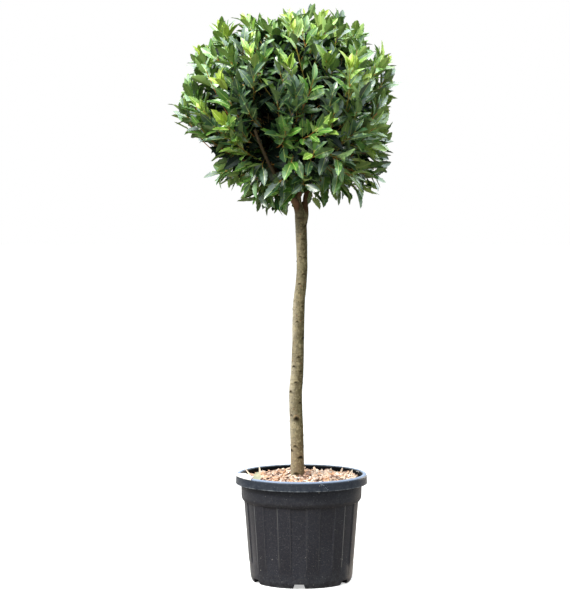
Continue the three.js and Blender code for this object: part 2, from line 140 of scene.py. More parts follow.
def makeFloor():
    turns = np.linspace(0, 2 * math.pi, stage["floorSides"] + 1)[:-1]
    radius, level = stage["floorRadius"], stage["floorLevel"]
    ring = [(radius * math.cos(a), radius * math.sin(a), level) for a in turns]
    mesh = bpy.data.meshes.new("floor")
    mesh.from_pydata(ring, [], [list(range(len(ring)))])
    floor = bpy.data.objects.new("floor", mesh)
    bpy.context.scene.collection.objects.link(floor)
    paper = bpy.data.materials.new("paperFloor")
    paper.use_nodes = True
    nodes, links = paper.node_tree.nodes, paper.node_tree.links
    pale = nodes["Principled BSDF"]
    pale.inputs["Base Color"].default_value = (*[stage["floorSeen"]] * 3, 1)
    pale.inputs["Roughness"].default_value = 1
    pale.inputs["Specular IOR Level"].default_value = 0
    pale.inputs["Emission Color"].default_value = (1, 1, 1, 1)
    pale.inputs["Emission Strength"].default_value = stage["floorGlow"]
    dull = nodes.new("ShaderNodeBsdfDiffuse")
    dull.inputs["Color"].default_value = (*stage["floorFelt"], 1)
    path = nodes.new("ShaderNodeLightPath")
    either = nodes.new("ShaderNodeMixShader")
    links.new(path.outputs["Is Camera Ray"], either.inputs[0])
    links.new(dull.outputs[0], either.inputs[1])
    links.new(pale.outputs[0], either.inputs[2])
    links.new(either.outputs[0], nodes["Material Output"].inputs["Surface"])
    mesh.materials.append(paper)


def setStage():
    scene = bpy.context.scene
    scene.view_settings.view_transform = "Standard"
    camera = bpy.data.objects.new("camera", bpy.data.cameras.new("camera"))
    camera.data.lens = stage["lens"]
    camera.location = stage["camera"]
    camera.rotation_euler = (math.radians(90 - stage["pitch"]), 0, 0)
    scene.collection.objects.link(camera)
    scene.camera = camera
    scene.world = makeSky()
    makeFloor()
    for name, row in lights.items():
        addAreaLight(name, *row)


setStage()
print("stage set")


# Small helpers for materials.
def tint(code):  # a web colour as linear light
    parts = [int(code[i:i + 2], 16) / 255 for i in (1, 3, 5)]
    return tuple(c / 12.92 if c < 0.04045 else ((c + 0.055) / 1.055) ** 2.4 for c in parts)


def newMaterial(name, colour, roughness, extra=None):
    made = bpy.data.materials.new(name)
    made.use_nodes = True
    made.diffuse_color = (*tint(colour), 1)
    shader = made.node_tree.nodes["Principled BSDF"]
    shader.inputs["Base Color"].default_value = (*tint(colour), 1)
    shader.inputs["Roughness"].default_value = roughness
    for socket, value in (extra or {}).items():
        shader.inputs[socket].default_value = value
    return made


def newShaderGroup(name, inputs, outputs):
    group = bpy.data.node_groups.new(name, "ShaderNodeTree")
    for label, kind, value in inputs:
        socket = group.interface.new_socket(label, in_out="INPUT", socket_type=kind)
        if value is not None:
            socket.default_value = value
    for label, kind in outputs:
        group.interface.new_socket(label, in_out="OUTPUT", socket_type=kind)
    return group, group.nodes.new("NodeGroupInput"), group.nodes.new("NodeGroupOutput")


def buildGrain():  # soft noise, drawn out along one axis
    group, given, result = newShaderGroup(
        "grain",
        [("Place", "NodeSocketVector", None), ("Stretch", "NodeSocketVector", (1, 1, 1)),
         ("Scale", "NodeSocketFloat", 40.0), ("Low", "NodeSocketFloat", 0.35),
         ("High", "NodeSocketFloat", 0.65)],
        [("Amount", "NodeSocketFloat")],
    )
    n, l = group.nodes, group.links
    drawn = n.new("ShaderNodeVectorMath")
    drawn.operation = "MULTIPLY"
    field = n.new("ShaderNodeTexNoise")
    field.inputs["Detail"].default_value = 5
    spread = n.new("ShaderNodeMapRange")
    l.new(given.outputs["Place"], drawn.inputs[0])
    l.new(given.outputs["Stretch"], drawn.inputs[1])
    l.new(drawn.outputs[0], field.inputs["Vector"])
    l.new(given.outputs["Scale"], field.inputs["Scale"])
    l.new(field.outputs["Fac"], spread.inputs["Value"])
    l.new(given.outputs["Low"], spread.inputs["From Min"])
    l.new(given.outputs["High"], spread.inputs["From Max"])
    l.new(spread.outputs["Result"], result.inputs["Amount"])
    return group


def buildSpecks():  # scattered dots, such as dust and splashes
    group, given, result = newShaderGroup(
        "specks",
        [("Place", "NodeSocketVector", None), ("Scale", "NodeSocketFloat", 120.0),
         ("Size", "NodeSocketFloat", 0.2)],
        [("Amount", "NodeSocketFloat")],
    )
    n, l = group.nodes, group.links
    cells = n.new("ShaderNodeTexVoronoi")
    tone = n.new("ShaderNodeSeparateColor")
    size = n.new("ShaderNodeMath")
    size.operation = "MULTIPLY"
    dot = n.new("ShaderNodeMath")
    dot.operation = "LESS_THAN"
    l.new(given.outputs["Place"], cells.inputs["Vector"])
    l.new(given.outputs["Scale"], cells.inputs["Scale"])
    l.new(cells.outputs["Color"], tone.inputs[0])
    l.new(tone.outputs[0], size.inputs[0])
    l.new(given.outputs["Size"], size.inputs[1])
    l.new(cells.outputs["Distance"], dot.inputs[0])
    l.new(size.outputs[0], dot.inputs[1])
    l.new(dot.outputs[0], result.inputs["Amount"])
    return group


grain = buildGrain()
specks = buildSpecks()


class Surface:  # a material under construction: adds nodes and wires them
    def __init__(self, name, colour, roughness, extra=None):
        self.material = newMaterial(name, colour, roughness, extra)
        self.nodes = self.material.node_tree.nodes
        self.links = self.material.node_tree.links
        self.shader = self.nodes["Principled BSDF"]
        self.place = self.nodes.new("ShaderNodeTexCoord").outputs["Object"]
        self.colour = None

    def wire(self, source, target):
        self.links.new(source, target)

    def patch(self, group, place=None, **values):
        node = self.nodes.new("ShaderNodeGroup")
        node.node_tree = group
        self.wire(place or self.place, node.inputs["Place"])
        for label, value in values.items():
            node.inputs[label].default_value = value
        return node.outputs["Amount"]

    def attribute(self, name, output="Fac"):
        node = self.nodes.new("ShaderNodeAttribute")
        node.attribute_name = name
        return node.outputs[output]

    def math(self, operation, first, second):
        node = self.nodes.new("ShaderNodeMath")
        node.operation = operation
        node.use_clamp = True
        for socket, value in zip(node.inputs, (first, second)):
            if isinstance(value, (int, float)):
                socket.default_value = value
            else:
                self.wire(value, socket)
        return node.outputs[0]

    def blend(self, amount, colour, share=1):  # lays a colour over what is there
        if share != 1:
            amount = self.math("MULTIPLY", amount, share)
        node = self.nodes.new("ShaderNodeMix")
        node.data_type = "RGBA"
        if self.colour is None:
            node.inputs["A"].default_value = self.shader.inputs["Base Color"].default_value
        else:
            self.wire(self.colour, node.inputs["A"])
        node.inputs["B"].default_value = (*tint(colour), 1)
        self.wire(amount, node.inputs["Factor"])
        self.colour = node.outputs["Result"]
        self.wire(self.colour, self.shader.inputs["Base Color"])

    def drive(self, socket, amount, low, high):
        node = self.nodes.new("ShaderNodeMapRange")
        self.wire(amount, node.inputs["Value"])
        node.inputs["To Min"].default_value = low
        node.inputs["To Max"].default_value = high
        self.wire(node.outputs["Result"], self.shader.inputs[socket])

    def bump(self, height, distance, strength=1.0):
        node = self.nodes.new("ShaderNodeBump")
        node.inputs["Distance"].default_value = distance
        node.inputs["Strength"].default_value = strength
        self.wire(height, node.inputs["Height"])
        self.wire(node.outputs["Normal"], self.shader.inputs["Normal"])


# Small helpers for meshes.
def newPiece(name, points, faces, material=None, smooth=True, sharpAbove=None):
    mesh = bpy.data.meshes.new(name)
    mesh.from_pydata([tuple(p) for p in points], [], faces)
    mesh.update()
    return finishPiece(name, mesh, material, smooth, sharpAbove)


def finishPiece(name, mesh, material=None, smooth=True, sharpAbove=None):
    piece = bpy.data.objects.new(name, mesh)
    bpy.context.scene.collection.objects.link(piece)
    if material:
        mesh.materials.append(material)
    if smooth:
        mesh.polygons.foreach_set("use_smooth", [True] * len(mesh.polygons))
        if sharpAbove:
            mesh.set_sharp_from_angle(angle=math.radians(sharpAbove))
    return piece


def dropPiece(piece):
    data = piece.data
    bpy.data.objects.remove(piece)
    if isinstance(data, bpy.types.Mesh):
        bpy.data.meshes.remove(data)


def evaluated(piece):
    return bpy.data.meshes.new_from_object(piece.evaluated_get(bpy.context.evaluated_depsgraph_get()))


def bakeModifiers(piece):  # what the modifiers make becomes the piece's own mesh
    mesh = evaluated(piece)
    piece.modifiers.clear()
    old = piece.data
    piece.data = mesh
    bpy.data.meshes.remove(old)
    mesh.name = piece.name


def vertexTable(mesh, field):  # the "co" or "normal" of each point
    table = np.empty(len(mesh.vertices) * 3, np.float32)
    mesh.vertices.foreach_get(field, table)
    return table.reshape(-1, 3).astype(float)


def storePoints(mesh, table):
    mesh.vertices.foreach_set("co", table.astype(np.float32).ravel())
    mesh.update()


def addAttribute(mesh, name, kind, values, domain="POINT"):
    layer = mesh.attributes.new(name, kind, domain)
    field = "vector" if kind == "FLOAT_VECTOR" else "value"
    layer.data.foreach_set(field, np.asarray(values).ravel())


def storeMarks(mesh, **marks):  # a number for each point, by name
    for name, values in marks.items():
        addAttribute(mesh, name, "FLOAT", np.asarray(values, np.float32))


def ringFaces(count, sides, flipped=False, closed=False):  # quads from each ring of points to the next
    faces = []
    for i in range(count if closed else count - 1):
        here, on = i * sides, (i + 1) % count * sides
        for k in range(sides):
            beside = (k + 1) % sides
            if flipped:
                faces.append((here + k, on + k, on + beside, here + beside))
            else:
                faces.append((here + k, here + beside, on + beside, on + k))
    return faces


def skin(rings, flipped=False):  # a closed skin over rings of points: its points and faces
    sides = len(rings[0])
    first = tuple(range(sides))
    last = tuple((len(rings) - 1) * sides + k for k in first)
    ends = [first, last[::-1]] if flipped else [first[::-1], last]
    return [p for ring in rings for p in ring], ringFaces(len(rings), sides, flipped) + ends


def prism(outline, way):  # an outline carried on to its other end
    return skin([outline, [p + way for p in outline]])


def joinParts(parts):
    table, faces = [], []
    for points, rows in parts:
        start = len(table)
        table += points
        faces += [tuple(v + start for v in face) for face in rows]
    return table, faces


# Small helpers for geometry nodes.
def newGrowthTree(name, inputs):
    tree = bpy.data.node_groups.new(name, "GeometryNodeTree")
    tree.interface.new_socket("Geometry", in_out="INPUT", socket_type="NodeSocketGeometry")
    for label, kind, value in inputs:
        socket = tree.interface.new_socket(label, in_out="INPUT", socket_type=kind)
        if value is not None:
            socket.default_value = value
    tree.interface.new_socket("Geometry", in_out="OUTPUT", socket_type="NodeSocketGeometry")
    return tree, tree.nodes.new("NodeGroupInput"), tree.nodes.new("NodeGroupOutput")


def runTree(source, tree, values, name, sharpAbove=None):
    modifier = source.modifiers.new("grow", "NODES")
    modifier.node_group = tree
    for item in tree.interface.items_tree:
        if item.in_out == "INPUT" and item.name in values:
            modifier[item.identifier] = values[item.name]
    mesh = evaluated(source)
    mesh.name = name
    dropPiece(source)
    return finishPiece(name, mesh, sharpAbove=sharpAbove)


def shapeSet(name, shapes):  # a collection that instances are picked from
    group = bpy.data.collections.new(name)
    for i, (points, faces, marks) in enumerate(shapes):
        mesh = bpy.data.meshes.new(f"{name}{i:02d}")
        mesh.from_pydata([tuple(p) for p in points], [], faces)
        for label, kind, domain, values in marks:
            addAttribute(mesh, label, kind, values, domain)
        mesh.update()
        group.objects.link(bpy.data.objects.new(f"{name}{i:02d}", mesh))
    return group


def dropSet(group):
    for o in list(group.objects):
        dropPiece(o)
    bpy.data.collections.remove(group)


# The pot: a turned shell with raised panels, six notches in its skirt and a rolled rim.
pot = {
    "panels": 12,
    "panelTurn": math.radians(-78.5),
    "panelRise": 0.0012,
    "recess": 0.0018,
    "panelEdge": (6.5, 8.3),  # degrees from a panel's middle, where its edge starts and ends
    "panelFoot": 0.05,
    "panelHead": 0.2315,
    "runIn": 0.009,  # height over which the panels rise from the skirt
    # panel edges with a painted highlight: degrees round the pot, and how much
    "paintedEdgeShine": ((199, 0.8), (214, 1.0), (244, 0.35), (319, 0.9), (349, 0.8)),
    "edgeShineReach": 4,  # degrees to each side of one
    "faintEdge": 0.12,  # how much the other edges shine
    "edgeWidth": 0.6,  # of that shine, in degrees
    "notches": 6,
    "notchTurn": math.radians(-93),
    "notchHeight": 0.013,
    "notchTop": 0.026,
    "notchBottom": 0.036,
    "notchReach": (0.125, 0.165),
    "webThick": 0.0024,
    "webReach": (0.112, 0.1385),
    # degrees from a panel's middle
    "columns": (0, 2.5, 4.6, 5.8, 6.4, 6.8, 7.2, 7.6, 8.0, 8.4, 9.0, 10.2, 12.4),
    # radius, height and rounding in millimetres, and wear: from the pad up, over the rim and down inside
    "profile": (
        (0, 0, 0, 0), (38, 0, 1, 0.4), (40, 13, 2, 0), (137, 13, 2, 0), (138, 0, 1, 0.3),
        (142.4, 0, 1.6, 0.4), (147.4, 12, 9, 0.08), (150.5, 50, 0, 0), (151.6, 62, 0, 0), (158, 145, 0, 0),
        (163.6, 215, 0, 0), (164.9, 231, 1.2, 0), (168.6, 232, 1.6, 0.05), (173.4, 241, 4, 0.05),
        (175, 302, 1.6, 0), (185.4, 302, 1.6, 0), (187, 282.4, 0.7, 0.6), (190, 282, 0.8, 1),
        (189.7, 285, 0, 0.1), (188.6, 303.5, 3, 0.03), (186.4, 308.4, 4, 0.25), (181.5, 310, 4, 0.2),
        (176.6, 308.6, 3, 0.4), (174.4, 304, 3, 0.1), (171.8, 244, 3, 0), (160, 232, 3, 0), (144, 18, 3, 0),
        (0, 18, 0, 0),
    ),
    # where the rim, tinted with a painted reflection, its crest, with a painted highlight, and the pot's
    # inside, coloured with painted shade, begin on that profile, in millimetres
    "rimFrom": (174, 281),  # radius and height
    "crestFrom": (178, 305),
    "shadedInsideBelow": 307,
    "creaseAngle": 38,
}


def roundedProfile(corners, steps=4):  # each corner becomes a short arc
    dense = []
    for i, (r, z, rounding, wear) in enumerate(corners):
        here = Vector((r, z))
        if rounding == 0 or i in (0, len(corners) - 1):
            dense.append((r, z, wear))
            continue
        back = Vector(corners[i - 1][:2]) - here
        on = Vector(corners[i + 1][:2]) - here
        reachBack = min(rounding, back.length * 0.45)
        reachOn = min(rounding, on.length * 0.45)
        a, b = here + back.normalized() * reachBack, here + on.normalized() * reachOn
        for k in range(steps + 1):
            t = k / steps
            p = a * (1 - t) ** 2 + here * 2 * t * (1 - t) + b * t ** 2
            dense.append((p.x, p.y, wear))
    return dense


def panelHeight(offset):  # 1 on a raised panel, 0 between panels
    first, last = pot["panelEdge"]
    t = min(1, max(0, (last - abs(offset)) / (last - first)))
    return t * t * (3 - 2 * t)


def potColumns():  # for each column of points: its turn, how raised it is and how much painted edge highlight it has
    pitch = 360 / pot["panels"]
    offsets = [-c for c in reversed(pot["columns"][1:])] + list(pot["columns"]) + [pitch / 2]
    rows = []
    for k in range(pot["panels"]):
        for offset in offsets:
            turn = math.radians(k * pitch + offset) + pot["panelTurn"]
            ridge = max(0, 1 - abs(abs(offset) - pot["panelEdge"][0]) / pot["edgeWidth"])
            edgeShine = [much for degrees, much in pot["paintedEdgeShine"]
                    if abs(math.degrees(turn) % 360 - degrees) < pot["edgeShineReach"]]
            rows.append((turn, panelHeight(offset), ridge * max(edgeShine, default=pot["faintEdge"])))
    return rows


def makePotWall():
    profile = roundedProfile(pot["profile"])
    columns = potColumns()
    panelsEnd = next(i for i, p in enumerate(profile) if p[1] > 1000 * pot["panelHead"])
    crest = max(range(len(profile)), key=lambda i: profile[i][1])
    points, wears, rims, shadedInsides, crestHighlights, edgeHighlights = [], [], [], [], [], []
    for i, (r, z, wear) in enumerate(profile):
        strength = min(1, max(0, (z / 1000 - pot["panelFoot"]) / pot["runIn"])) * (i < panelsEnd)
        for turn, rise, line in columns:
            lift = strength * (rise * (pot["panelRise"] + pot["recess"]) - pot["recess"])
            radius = r / 1000 + lift
            points.append((radius * math.cos(turn), radius * math.sin(turn), z / 1000))
            wears.append(wear)
            edgeHighlights.append(line * strength)
            crestHighlights.append(min(1, max(0, (z - pot["crestFrom"][1]) / 2)) * (r > pot["crestFrom"][0]))
            rims.append(r > pot["rimFrom"][0] and z > pot["rimFrom"][1])
            shadedInsides.append(i > crest and z < pot["shadedInsideBelow"])
    mesh = bpy.data.meshes.new("potShell")
    mesh.from_pydata(points, [], ringFaces(len(profile), len(columns)))
    storeMarks(mesh, wear=wears, rim=rims, inside=shadedInsides, crest=crestHighlights, line=edgeHighlights)
    shell = finishPiece("potShell", mesh)
    weld = shell.modifiers.new("weld", "WELD")
    weld.merge_threshold = 0.00002
    bakeModifiers(shell)
    return shell


def notchWays():  # for each notch the way out through its middle and the way along the skirt
    for k in range(pot["notches"]):
        turn = pot["notchTurn"] + k * 2 * math.pi / pot["notches"]
        yield Vector((math.cos(turn), math.sin(turn), 0)), Vector((-math.sin(turn), math.cos(turn), 0))


def cutNotches(shell):
    near, far = pot["notchReach"]
    low, high = pot["notchBottom"] / 2, pot["notchTop"] / 2
    corners = [(-low, -0.002), (low, -0.002), (high, pot["notchHeight"]), (-high, pot["notchHeight"])]
    cutters = []
    for k, (out, side) in enumerate(notchWays()):
        outline = [out * near + side * s + up * h for s, h in corners]
        cutters.append(newPiece(f"notch{k}", *prism(outline, out * (far - near)), smooth=False))
        cut = shell.modifiers.new("cut", "BOOLEAN")
        cut.operation = "DIFFERENCE"
        cut.solver = "EXACT"
        cut.object = cutters[-1]
    bakeModifiers(shell)
    for cutter in cutters:
        dropPiece(cutter)


def makePot():
    shell = makePotWall()
    cutNotches(shell)
    shell.data.polygons.foreach_set("use_smooth", [True] * len(shell.data.polygons))
    shell.data.set_sharp_from_angle(angle=math.radians(pot["creaseAngle"]))
    return shell


def potPlastic():
    look = Surface("potPlastic", "#20212a", 0.46, {"Specular IOR Level": 0.38})
    mottle = look.patch(grain, Scale=9.0, Low=0.3, High=0.7)
    look.blend(mottle, "#191a21", 0.5)
    look.blend(look.patch(grain, Scale=260.0, Low=0.45, High=0.75), "#5f5b58", 0.26)  # a thin film of dust
    look.blend(look.attribute("rim"), "#1f2733", 0.75)  # the rim is bluer: a painted reflection of the blue sky
    # painted highlight: a pale blue line along the rim's crest, the sky it mirrors
    look.blend(look.attribute("crest"), "#7d8fad", 0.85)
    chafed = look.patch(grain, Scale=90.0, Low=0.36, High=0.62)
    look.blend(look.math("MULTIPLY", look.attribute("wear"), chafed), "#98a0a6", 0.75)
    broken = look.patch(grain, Scale=40.0, Low=0.25, High=0.6, Stretch=(1, 1, 0.3))
    # painted highlight: pale lines along the panel edges that face the side lamps
    look.blend(look.math("MULTIPLY", look.attribute("line"), broken), "#9fa19f", 0.85)
    look.blend(look.patch(specks, Scale=210.0, Size=0.2), "#8f9092", 0.42)
    look.blend(look.patch(specks, Scale=60.0, Size=0.085), "#bdb9b0", 0.75)
    # painted shade: the pot's inside is coloured near black
    look.blend(look.attribute("inside"), "#050607", 0.95)
    look.drive("Roughness", mottle, 0.40, 0.54)
    dull = look.math("MAXIMUM", look.attribute("inside"), look.math("MULTIPLY", look.attribute("rim"), 0.4))
    look.drive("Specular IOR Level", dull, 0.38, 0.03)
    look.bump(look.patch(grain, Scale=420.0, Low=0.2, High=0.8), 0.0003, 0.3)
    return look.material


def makeWebs():  # on both sides of each notch a short web under the floor, coloured near black as painted shade, so the notches show the dark inside of the skirt
    near, far = pot["webReach"]
    half = pot["webThick"] / 2
    corners = ((near, -half), (far, -half), (far, half), (near, half))
    parts = []
    for out, side in notchWays():
        for sign in (-1, 1):
            middle = side * (sign * (pot["notchBottom"] + pot["webThick"] * 2) / 2) + up * 0.0006
            outline = [middle + out * r + side * s for r, s in corners]
            parts.append(prism(outline, up * (pot["notchHeight"] + 0.0004)))
    plastic = newMaterial("potWebPlastic", "#0c0c0e", 0.6)
    webs = newPiece("potWebs", *joinParts(parts), plastic, smooth=False)
    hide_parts("pot")
    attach(webs, "root")


potPiece = makePot()
potPiece.data.materials.clear()
potPiece.data.materials.append(potPlastic())
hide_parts("pot")
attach(potPiece, "root")
makeWebs()
print("pot", len(potPiece.data.polygons))


# The scuffs that the pot took on its rim: thin pale scratches.
scuffs = {
    # degrees round the rim from the right, height, length and lean in degrees
    "list": (
        (-73.6, 0.3005, 0.006, 20), (-72.6, 0.2995, 0.010, 62), (-71.4, 0.2985, 0.005, -35),
        (-69.6, 0.2915, 0.006, 60), (-68.4, 0.2885, 0.009, 74), (-67.6, 0.2860, 0.005, 30),
    ),
    "width": 0.0009,
    "depth": 0.0003,
    "bend": 0.0016,
    "steps": 8,
    "rim": (0.18993, 0.282, 0.058),  # the rim's radius and height at its foot, and how fast it narrows
}


def makeScuffs():
    wide, foot, taper = scuffs["rim"]
    steps = scuffs["steps"]
    parts = []
    for turn, height, length, lean in scuffs["list"]:
        c, s = math.cos(math.radians(lean)), math.sin(math.radians(lean))
        rings = []
        for i in range(steps + 1):
            t = i / steps - 0.5
            bend = scuffs["bend"] * (1 - 4 * t * t)
            across = t * length * c - bend * s
            middle = height + t * length * s + bend * c
            half = scuffs["width"] * (1 - (2 * t) ** 2) ** 0.5 / 2 + 0.00005
            ring = []
            for sign, sunk in ((-1, 0), (-1, scuffs["depth"]), (1, scuffs["depth"]), (1, 0)):
                z = middle + sign * half
                radius = wide - taper * (z - foot)
                angle = math.radians(turn) + across / radius
                ring.append(((radius - sunk) * math.cos(angle), (radius - sunk) * math.sin(angle), z))
            rings.append(ring)
        parts.append(skin(rings))
    return newPiece("rimScuffs", *joinParts(parts), newMaterial("scuffedPlastic", "#8f98a3", 0.7))


rimScuffs = makeScuffs()
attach(rimScuffs, "root")


# A blank strip laid over the rim.
strip = {
    "from": 189.0,  # degrees round the rim
    "to": 221.0,
    "thick": 0.0009,
    # radius and height of its underside, from inside the rim over the crest
    "over": ((0.1620, 0.3112), (0.1690, 0.3116), (0.1760, 0.3116), (0.1820, 0.3114),
             (0.1874, 0.3105), (0.1897, 0.3088), (0.1904, 0.3062)),
    "steps": 30,
    "slant": 7.5,  # degrees by which its inner corner at the right end falls short
}


def makeStrip():
    below = list(strip["over"])
    above = [(r + strip["thick"] * 0.3, z + strip["thick"]) for r, z in reversed(below)]
    inner, outer = below[0][0], below[-1][0]
    rings = []
    for i in range(strip["steps"] + 1):
        ring = []
        for r, z in below + above:
            span = strip["to"] - strip["from"] - strip["slant"] * max(0, (outer - r) / (outer - inner))
            angle = math.radians(strip["from"] + span * i / strip["steps"])
            ring.append((r * math.cos(angle), r * math.sin(angle), z))
        rings.append(ring)
    return newPiece("blankStrip", *skin(rings, flipped=True), sharpAbove=40)


def stripPlastic():
    look = Surface("stripPlastic", "#fbfbf9", 0.4)
    look.blend(look.patch(grain, Scale=130.0, Low=0.45, High=0.8), "#dad8d2", 0.15)
    look.blend(look.patch(specks, Scale=260.0, Size=0.16), "#8d857a", 0.4)
    return look.material


blankStrip = makeStrip()
blankStrip.data.materials.append(stripPlastic())
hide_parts("label")
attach(blankStrip, "root")


# What fills the pot: dark compost under a loose layer of chips.
def compostFinish():
    look = Surface("compost", "#2a1c16", 0.95)
    look.blend(look.patch(grain, Scale=180.0, Low=0.4, High=0.7), "#4d3529")
    look.bump(look.patch(grain, Scale=260.0, Low=0.2, High=0.8), 0.002, 0.8)
    return look.material


compost = compostFinish()
rootBall = frame["nodes"]["root_ball"]
rootBall.data.materials.clear()
rootBall.data.materials.append(compost)

mulch = {
    "edge": 0.2915,
    "middle": 0.2995,
    "bottom": 0.2745,
    "outer": 0.1702,
    "hole": 0.0225,
    "waves": (0.0022, 38),  # how high and how close together
    "rings": 26,
    "columns": 120,
    # piece, colour, chips per square metre, tilt and seed
    "chips": (
        ("chipsCream", "#eee1d3", 3100, 0.5, 3),
        ("chipsRose", "#dcc0aa", 2700, 0.6, 5),
        ("chipsTan", "#cf9f7c", 2200, 0.6, 7),
        ("chipsUpright", "#ead2ba", 1100, 0.95, 13),
        ("chipsGrey", "#94776b", 1200, 0.5, 11),
        ("chipsDark", "#4d352d", 1500, 0.55, 17),
    ),
    "chipLength": (0.011, 0.034),
    "shapes": 9,
    # chips that stand up behind the stem: sideways, depth, length, width and lean to the left in degrees
    "standing": (
        (-0.147, 0.035, 0.022, 0.005, 36), (-0.122, 0.110, 0.013, 0.006, 4),
        (-0.054, 0.150, 0.006, 0.009, 0), (0.037, 0.138, 0.011, 0.006, -6),
        (0.090, 0.138, 0.008, 0.004, 10), (0.147, 0.087, 0.011, 0.007, -14),
    ),
    "buried": 0.008,  # the foot of such a chip, among the others
    "standingThick": 0.012,
}
chipField = {  # the surface that chips are scattered over, a little inside the bed's edge
    "outer": 0.1635,
    "hole": 0.026,
    "lift": 0.0022,
    "rings": 14,
    "columns": 72,
    "strip": (205, 24, 0.012),  # its middle and reach in degrees, and how far chips keep away from it
}
trunkFoot = Vector((-0.0095, 0, 0))


def mulchHeight(x, y):
    share = min(1.0, math.hypot(x, y) / mulch["outer"])
    mound = mulch["edge"] + (mulch["middle"] - mulch["edge"]) * math.cos(share * math.pi / 2)
    height, closeness = mulch["waves"]
    return mound + height * noise.noise(Vector((x * closeness, y * closeness, 3)))


def mulchPoint(turn, share, outer, hole, lift=0):  # share is 0 at the bed's edge and 1 at the stem
    way = Vector((math.cos(turn), math.sin(turn), 0))
    p = (way * outer).lerp(trunkFoot + way * hole, share)
    return p.x, p.y, mulchHeight(p.x, p.y) + lift


def makeMulchBed():
    n, rings = mulch["columns"], mulch["rings"]
    turns = [2 * math.pi * k / n for k in range(n)]
    outer, hole = mulch["outer"], mulch["hole"]
    points = [mulchPoint(a, i / rings, outer, hole) for i in range(rings + 1) for a in turns]
    for i in (rings, 0):
        points += [(*points[i * n + k][:2], mulch["bottom"]) for k in range(n)]
    return newPiece("mulchBed", points, ringFaces(rings + 3, n, closed=True), sharpAbove=60)


def chipShape(seed):  # a split sliver of wood, a unit long along X
    pick = random.Random(seed)
    stations = 5
    rings, grainAt = [], []
    width, thick = pick.uniform(0.18, 0.4), pick.uniform(0.05, 0.13)
    bend = pick.uniform(-0.12, 0.12)
    for i in range(stations):
        t = i / (stations - 1)
        swell = 0.45 + 0.55 * math.sin(math.pi * min(1, max(0, t * 0.86 + 0.08)))
        ring = []
        for side, level in ((-1, -1), (1, -1), (1, 1), (-1, 1)):
            y = side * width / 2 * swell * pick.uniform(0.75, 1.2)
            z = level * thick / 2 * swell * pick.uniform(0.7, 1.25) + bend * math.sin(math.pi * t)
            x = t - 0.5 + pick.uniform(-0.06, 0.06)
            ring.append((x, y, z))
            grainAt.append((x * 0.25, y, z))
        rings.append(ring)
    return *skin(rings), [("grainAt", "FLOAT_VECTOR", "POINT", np.array(grainAt, np.float32))]


def buildChipTree():
    tree, given, result = newGrowthTree(
        "scatterChips",
        [("Shapes", "NodeSocketCollection", None), ("Per Square Metre", "NodeSocketFloat", 4000.0),
         ("Shortest", "NodeSocketFloat", 0.01), ("Longest", "NodeSocketFloat", 0.03),
         ("Tilt", "NodeSocketFloat", 0.5), ("Seed", "NodeSocketInt", 1),
         ("Finish", "NodeSocketMaterial", None)],
    )
    n, l = tree.nodes, tree.links
    scatter = n.new("GeometryNodeDistributePointsOnFaces")
    pick = n.new("GeometryNodeCollectionInfo")
    pick.inputs["Separate Children"].default_value = True
    pick.inputs["Reset Children"].default_value = True
    place = n.new("GeometryNodeInstanceOnPoints")
    place.inputs["Pick Instance"].default_value = True
    which = n.new("FunctionNodeRandomValue")
    which.data_type = "INT"
    which.inputs[5].default_value = 40  # the whole numbers' sockets are 4, 5 and output 2
    size = n.new("FunctionNodeRandomValue")
    turn = n.new("FunctionNodeRandomValue")
    turn.data_type = "FLOAT_VECTOR"
    spread = n.new("ShaderNodeCombineXYZ")
    spread.inputs["Z"].default_value = math.pi
    lower = n.new("ShaderNodeVectorMath")
    lower.operation = "SCALE"
    lower.inputs["Scale"].default_value = -1
    real = n.new("GeometryNodeRealizeInstances")
    finish = n.new("GeometryNodeSetMaterial")
    l.new(given.outputs["Geometry"], scatter.inputs["Mesh"])
    l.new(given.outputs["Per Square Metre"], scatter.inputs["Density"])
    l.new(given.outputs["Seed"], scatter.inputs["Seed"])
    l.new(given.outputs["Shapes"], pick.inputs["Collection"])
    l.new(given.outputs["Tilt"], spread.inputs["X"])
    l.new(given.outputs["Tilt"], spread.inputs["Y"])
    l.new(spread.outputs[0], lower.inputs[0])
    l.new(lower.outputs[0], turn.inputs[0])
    l.new(spread.outputs[0], turn.inputs[1])
    l.new(given.outputs["Seed"], turn.inputs["Seed"])
    l.new(given.outputs["Seed"], which.inputs["Seed"])
    l.new(given.outputs["Seed"], size.inputs["Seed"])
    l.new(given.outputs["Shortest"], size.inputs[2])
    l.new(given.outputs["Longest"], size.inputs[3])
    l.new(scatter.outputs["Points"], place.inputs["Points"])
    l.new(pick.outputs[0], place.inputs["Instance"])
    l.new(which.outputs[2], place.inputs["Instance Index"])
    l.new(turn.outputs[0], place.inputs["Rotation"])
    l.new(size.outputs[1], place.inputs["Scale"])
    l.new(place.outputs["Instances"], real.inputs["Geometry"])
    l.new(real.outputs["Geometry"], finish.inputs["Geometry"])
    l.new(given.outputs["Finish"], finish.inputs["Material"])
    l.new(finish.outputs["Geometry"], result.inputs["Geometry"])
    return tree


def chipWood(name, colour):
    look = Surface(name, colour, 0.82)
    fibre = look.patch(grain, place=look.attribute("grainAt", "Vector"), Scale=14.0, Low=0.3, High=0.7)
    look.blend(fibre, "#b8927a", 0.32)
    look.bump(fibre, 0.0008, 0.5)
    return look.material


def makeChipField(name):
    n, rings = chipField["columns"], chipField["rings"]
    middle, reachOfStrip, margin = chipField["strip"]
    points = []
    for i in range(rings + 1):
        for k in range(n):
            a = 2 * math.pi * k / n
            clear = margin * max(0, 1 - (abs(math.degrees(a) - middle) / reachOfStrip) ** 4)
            edge = chipField["outer"] - clear
            points.append(mulchPoint(a, i / rings, edge, chipField["hole"], chipField["lift"]))
    return newPiece(name, points, ringFaces(rings + 1, n))


mulchBed = makeMulchBed()
mulchBed.data.materials.append(compost)
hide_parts("mulch")
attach(mulchBed, "root")

